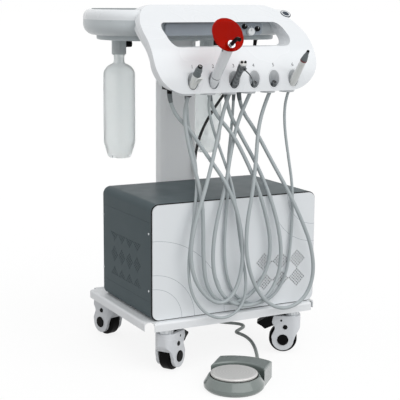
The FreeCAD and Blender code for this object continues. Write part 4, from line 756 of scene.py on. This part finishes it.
UMBILICAL_RADIUS, LEAD_RADIUS = 0.004, 0.0047
LEAD_PITCH, LEAD_GROOVE = 0.003, 0.0007
UMBILICAL_BOOT = (0.022, 0.0058, 0.0044)   # reach, and radius at the fitting and at the lip
LEAD_BOOT = (0.022, 0.0062, 0.005)
black_hose = moulded("black_rubber_hose", "#1B1D1E", "#131415", 0.42, grain=0.001, shine=0.35)
ribbed_grey = moulded("grey_ribbed_polyethylene", "#ABB2AF", "#A1A8A5", 0.36)
umbilical, path = line_of("umbilical", [
    (0.222, 0.2, 0.8257), (0.221, 0.203, 0.785), (0.178, 0.216, 0.728), (0.124, 0.221, 0.662),
    (0.082, 0.221, 0.606), (0.056, 0.221, 0.556), (0.043, 0.221, 0.504), (0.042, 0.221, 0.455),
    (0.057, 0.221, 0.416), (0.06, 0.221, 0.3843)])
thicken(umbilical.data, UMBILICAL_RADIUS, black_hose)
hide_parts("umbilical_hose")
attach(umbilical, "root")
boots = [sleeve("umbilical_boot_top", path, *UMBILICAL_BOOT, black_abs),
         sleeve("umbilical_boot_foot", path[::-1], *UMBILICAL_BOOT, black_abs)]

floor_line, path = line_of("floor_line", [
    (0.006, -0.208, 0.009), (0.06, -0.116, 0.005), (0.111, -0.006, 0.005),
    (0.126, 0.059, 0.005), (0.123, 0.092, 0.005), (0.119, 0.113, 0.005), (0.145, 0.13, 0.005),
    (0.171, 0.15, 0.005), (0.172, 0.176, 0.005), (0.143, 0.203, 0.005), (0.108, 0.24, 0.005),
    (0.094, 0.28, 0.005), (0.09, 0.312, 0.018), (0.09, 0.326, 0.052), (0.09, 0.327, 0.104),
    (0.09, 0.314, 0.15), (0.09, 0.282, 0.178), (0.09, 0.2383, 0.184)])
bpy.data.objects.remove(floor_line)
pedal_lead = ribbed("pedal_lead", path, LEAD_RADIUS, LEAD_PITCH, LEAD_GROOVE, ribbed_grey)
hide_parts("pedal_hose")
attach(pedal_lead, "root")
boots = [sleeve("pedal_boot_front", path, *LEAD_BOOT, black_abs),
         sleeve("pedal_boot_back", path[::-1], *LEAD_BOOT, black_abs)]
dress(black_abs, "hose_fittings")


# --- Floor, light and camera ------------------------------------------------------------
# A white studio floor under an even white sky, with one large soft lamp from the upper
# front. Both look white to the camera, but light the object a little less than that.

FLOOR_SIZE, FLOOR_GLOW = 60.0, 0.86
SKY_FILL, SKY_SEEN = 0.66, 1.0
KEY_ENERGY, KEY_ANGLE, KEY_FROM = 1.35, math.radians(70), Vector((0.15, -1.0, 0.85))
LENS, FAR_CLIP = 100.0, 200.0
CAMERA_SPOT = (-1.38304, -2.54376, 0.94248)
HEADING, DIP, ROLL = (math.radians(a) for a in (-27.556, 10.326, 0.366))


def seen_rays(tree):
    """1 for a ray that looks at a surface, also by a mirror or through glass, 0 for others."""
    rays = add(tree, "ShaderNodeLightPath").outputs
    sharp = math_node(tree, "MAXIMUM", rays["Is Camera Ray"], rays["Is Glossy Ray"])
    return math_node(tree, "MAXIMUM", sharp, rays["Is Transmission Ray"])


floor_mesh = bpy.data.meshes.new("floor")
floor_bm = bmesh.new()
bmesh.ops.create_grid(floor_bm, x_segments=1, y_segments=1, size=FLOOR_SIZE)
floor_bm.to_mesh(floor_mesh)
floor_bm.free()
floor = as_piece("floor", floor_mesh)

studio, tree, _ = new_material("studio_floor")
dim = add(tree, "ShaderNodeBsdfDiffuse", {"Color": linear("#B8B8B8")})
seen = add(tree, "ShaderNodeBsdfDiffuse", {"Color": linear("#6E6E6E")})
glow = add(tree, "ShaderNodeEmission", {"Color": linear("#FFFFFF"), "Strength": FLOOR_GLOW})
both = add(tree, "ShaderNodeAddShader", {0: seen.outputs["BSDF"], 1: glow.outputs["Emission"]})
choice = add(tree, "ShaderNodeMixShader", {"Fac": seen_rays(tree), 1: dim.outputs["BSDF"],
                                           2: both.outputs["Shader"]})
add(tree, "ShaderNodeOutputMaterial", {"Surface": choice.outputs["Shader"]})
floor_mesh.materials.append(studio)

world = bpy.data.worlds.new("studio_sky")
world.use_nodes = True
sky = world.node_tree
sky.nodes.clear()
level = add(sky, "ShaderNodeMapRange", {"Value": seen_rays(sky), "To Min": SKY_FILL,
                                        "To Max": SKY_SEEN})
backdrop = add(sky, "ShaderNodeBackground", {"Color": linear("#FFFFFF"),
                                             "Strength": level.outputs["Result"]})
add(sky, "ShaderNodeOutputWorld", {"Surface": backdrop.outputs["Background"]})
bpy.context.scene.world = world

key_light = bpy.data.lights.new("soft_key", "SUN")
key_light.energy = KEY_ENERGY
key_light.angle = KEY_ANGLE
key = as_piece("soft_key", key_light)
key.rotation_euler = KEY_FROM.to_track_quat("Z", "Y").to_euler()

camera_data = bpy.data.cameras.new("camera")
camera_data.lens = LENS
camera_data.clip_end = FAR_CLIP
camera = as_piece("camera", camera_data)
camera.matrix_world = (Matrix.Translation(CAMERA_SPOT) @ Matrix.Rotation(HEADING, 4, "Z")
                       @ Matrix.Rotation(math.pi / 2 - DIP, 4, "X")
                       @ Matrix.Rotation(ROLL, 4, "Z"))
bpy.context.scene.camera = camera
bpy.context.scene.view_settings.view_transform = "Standard"
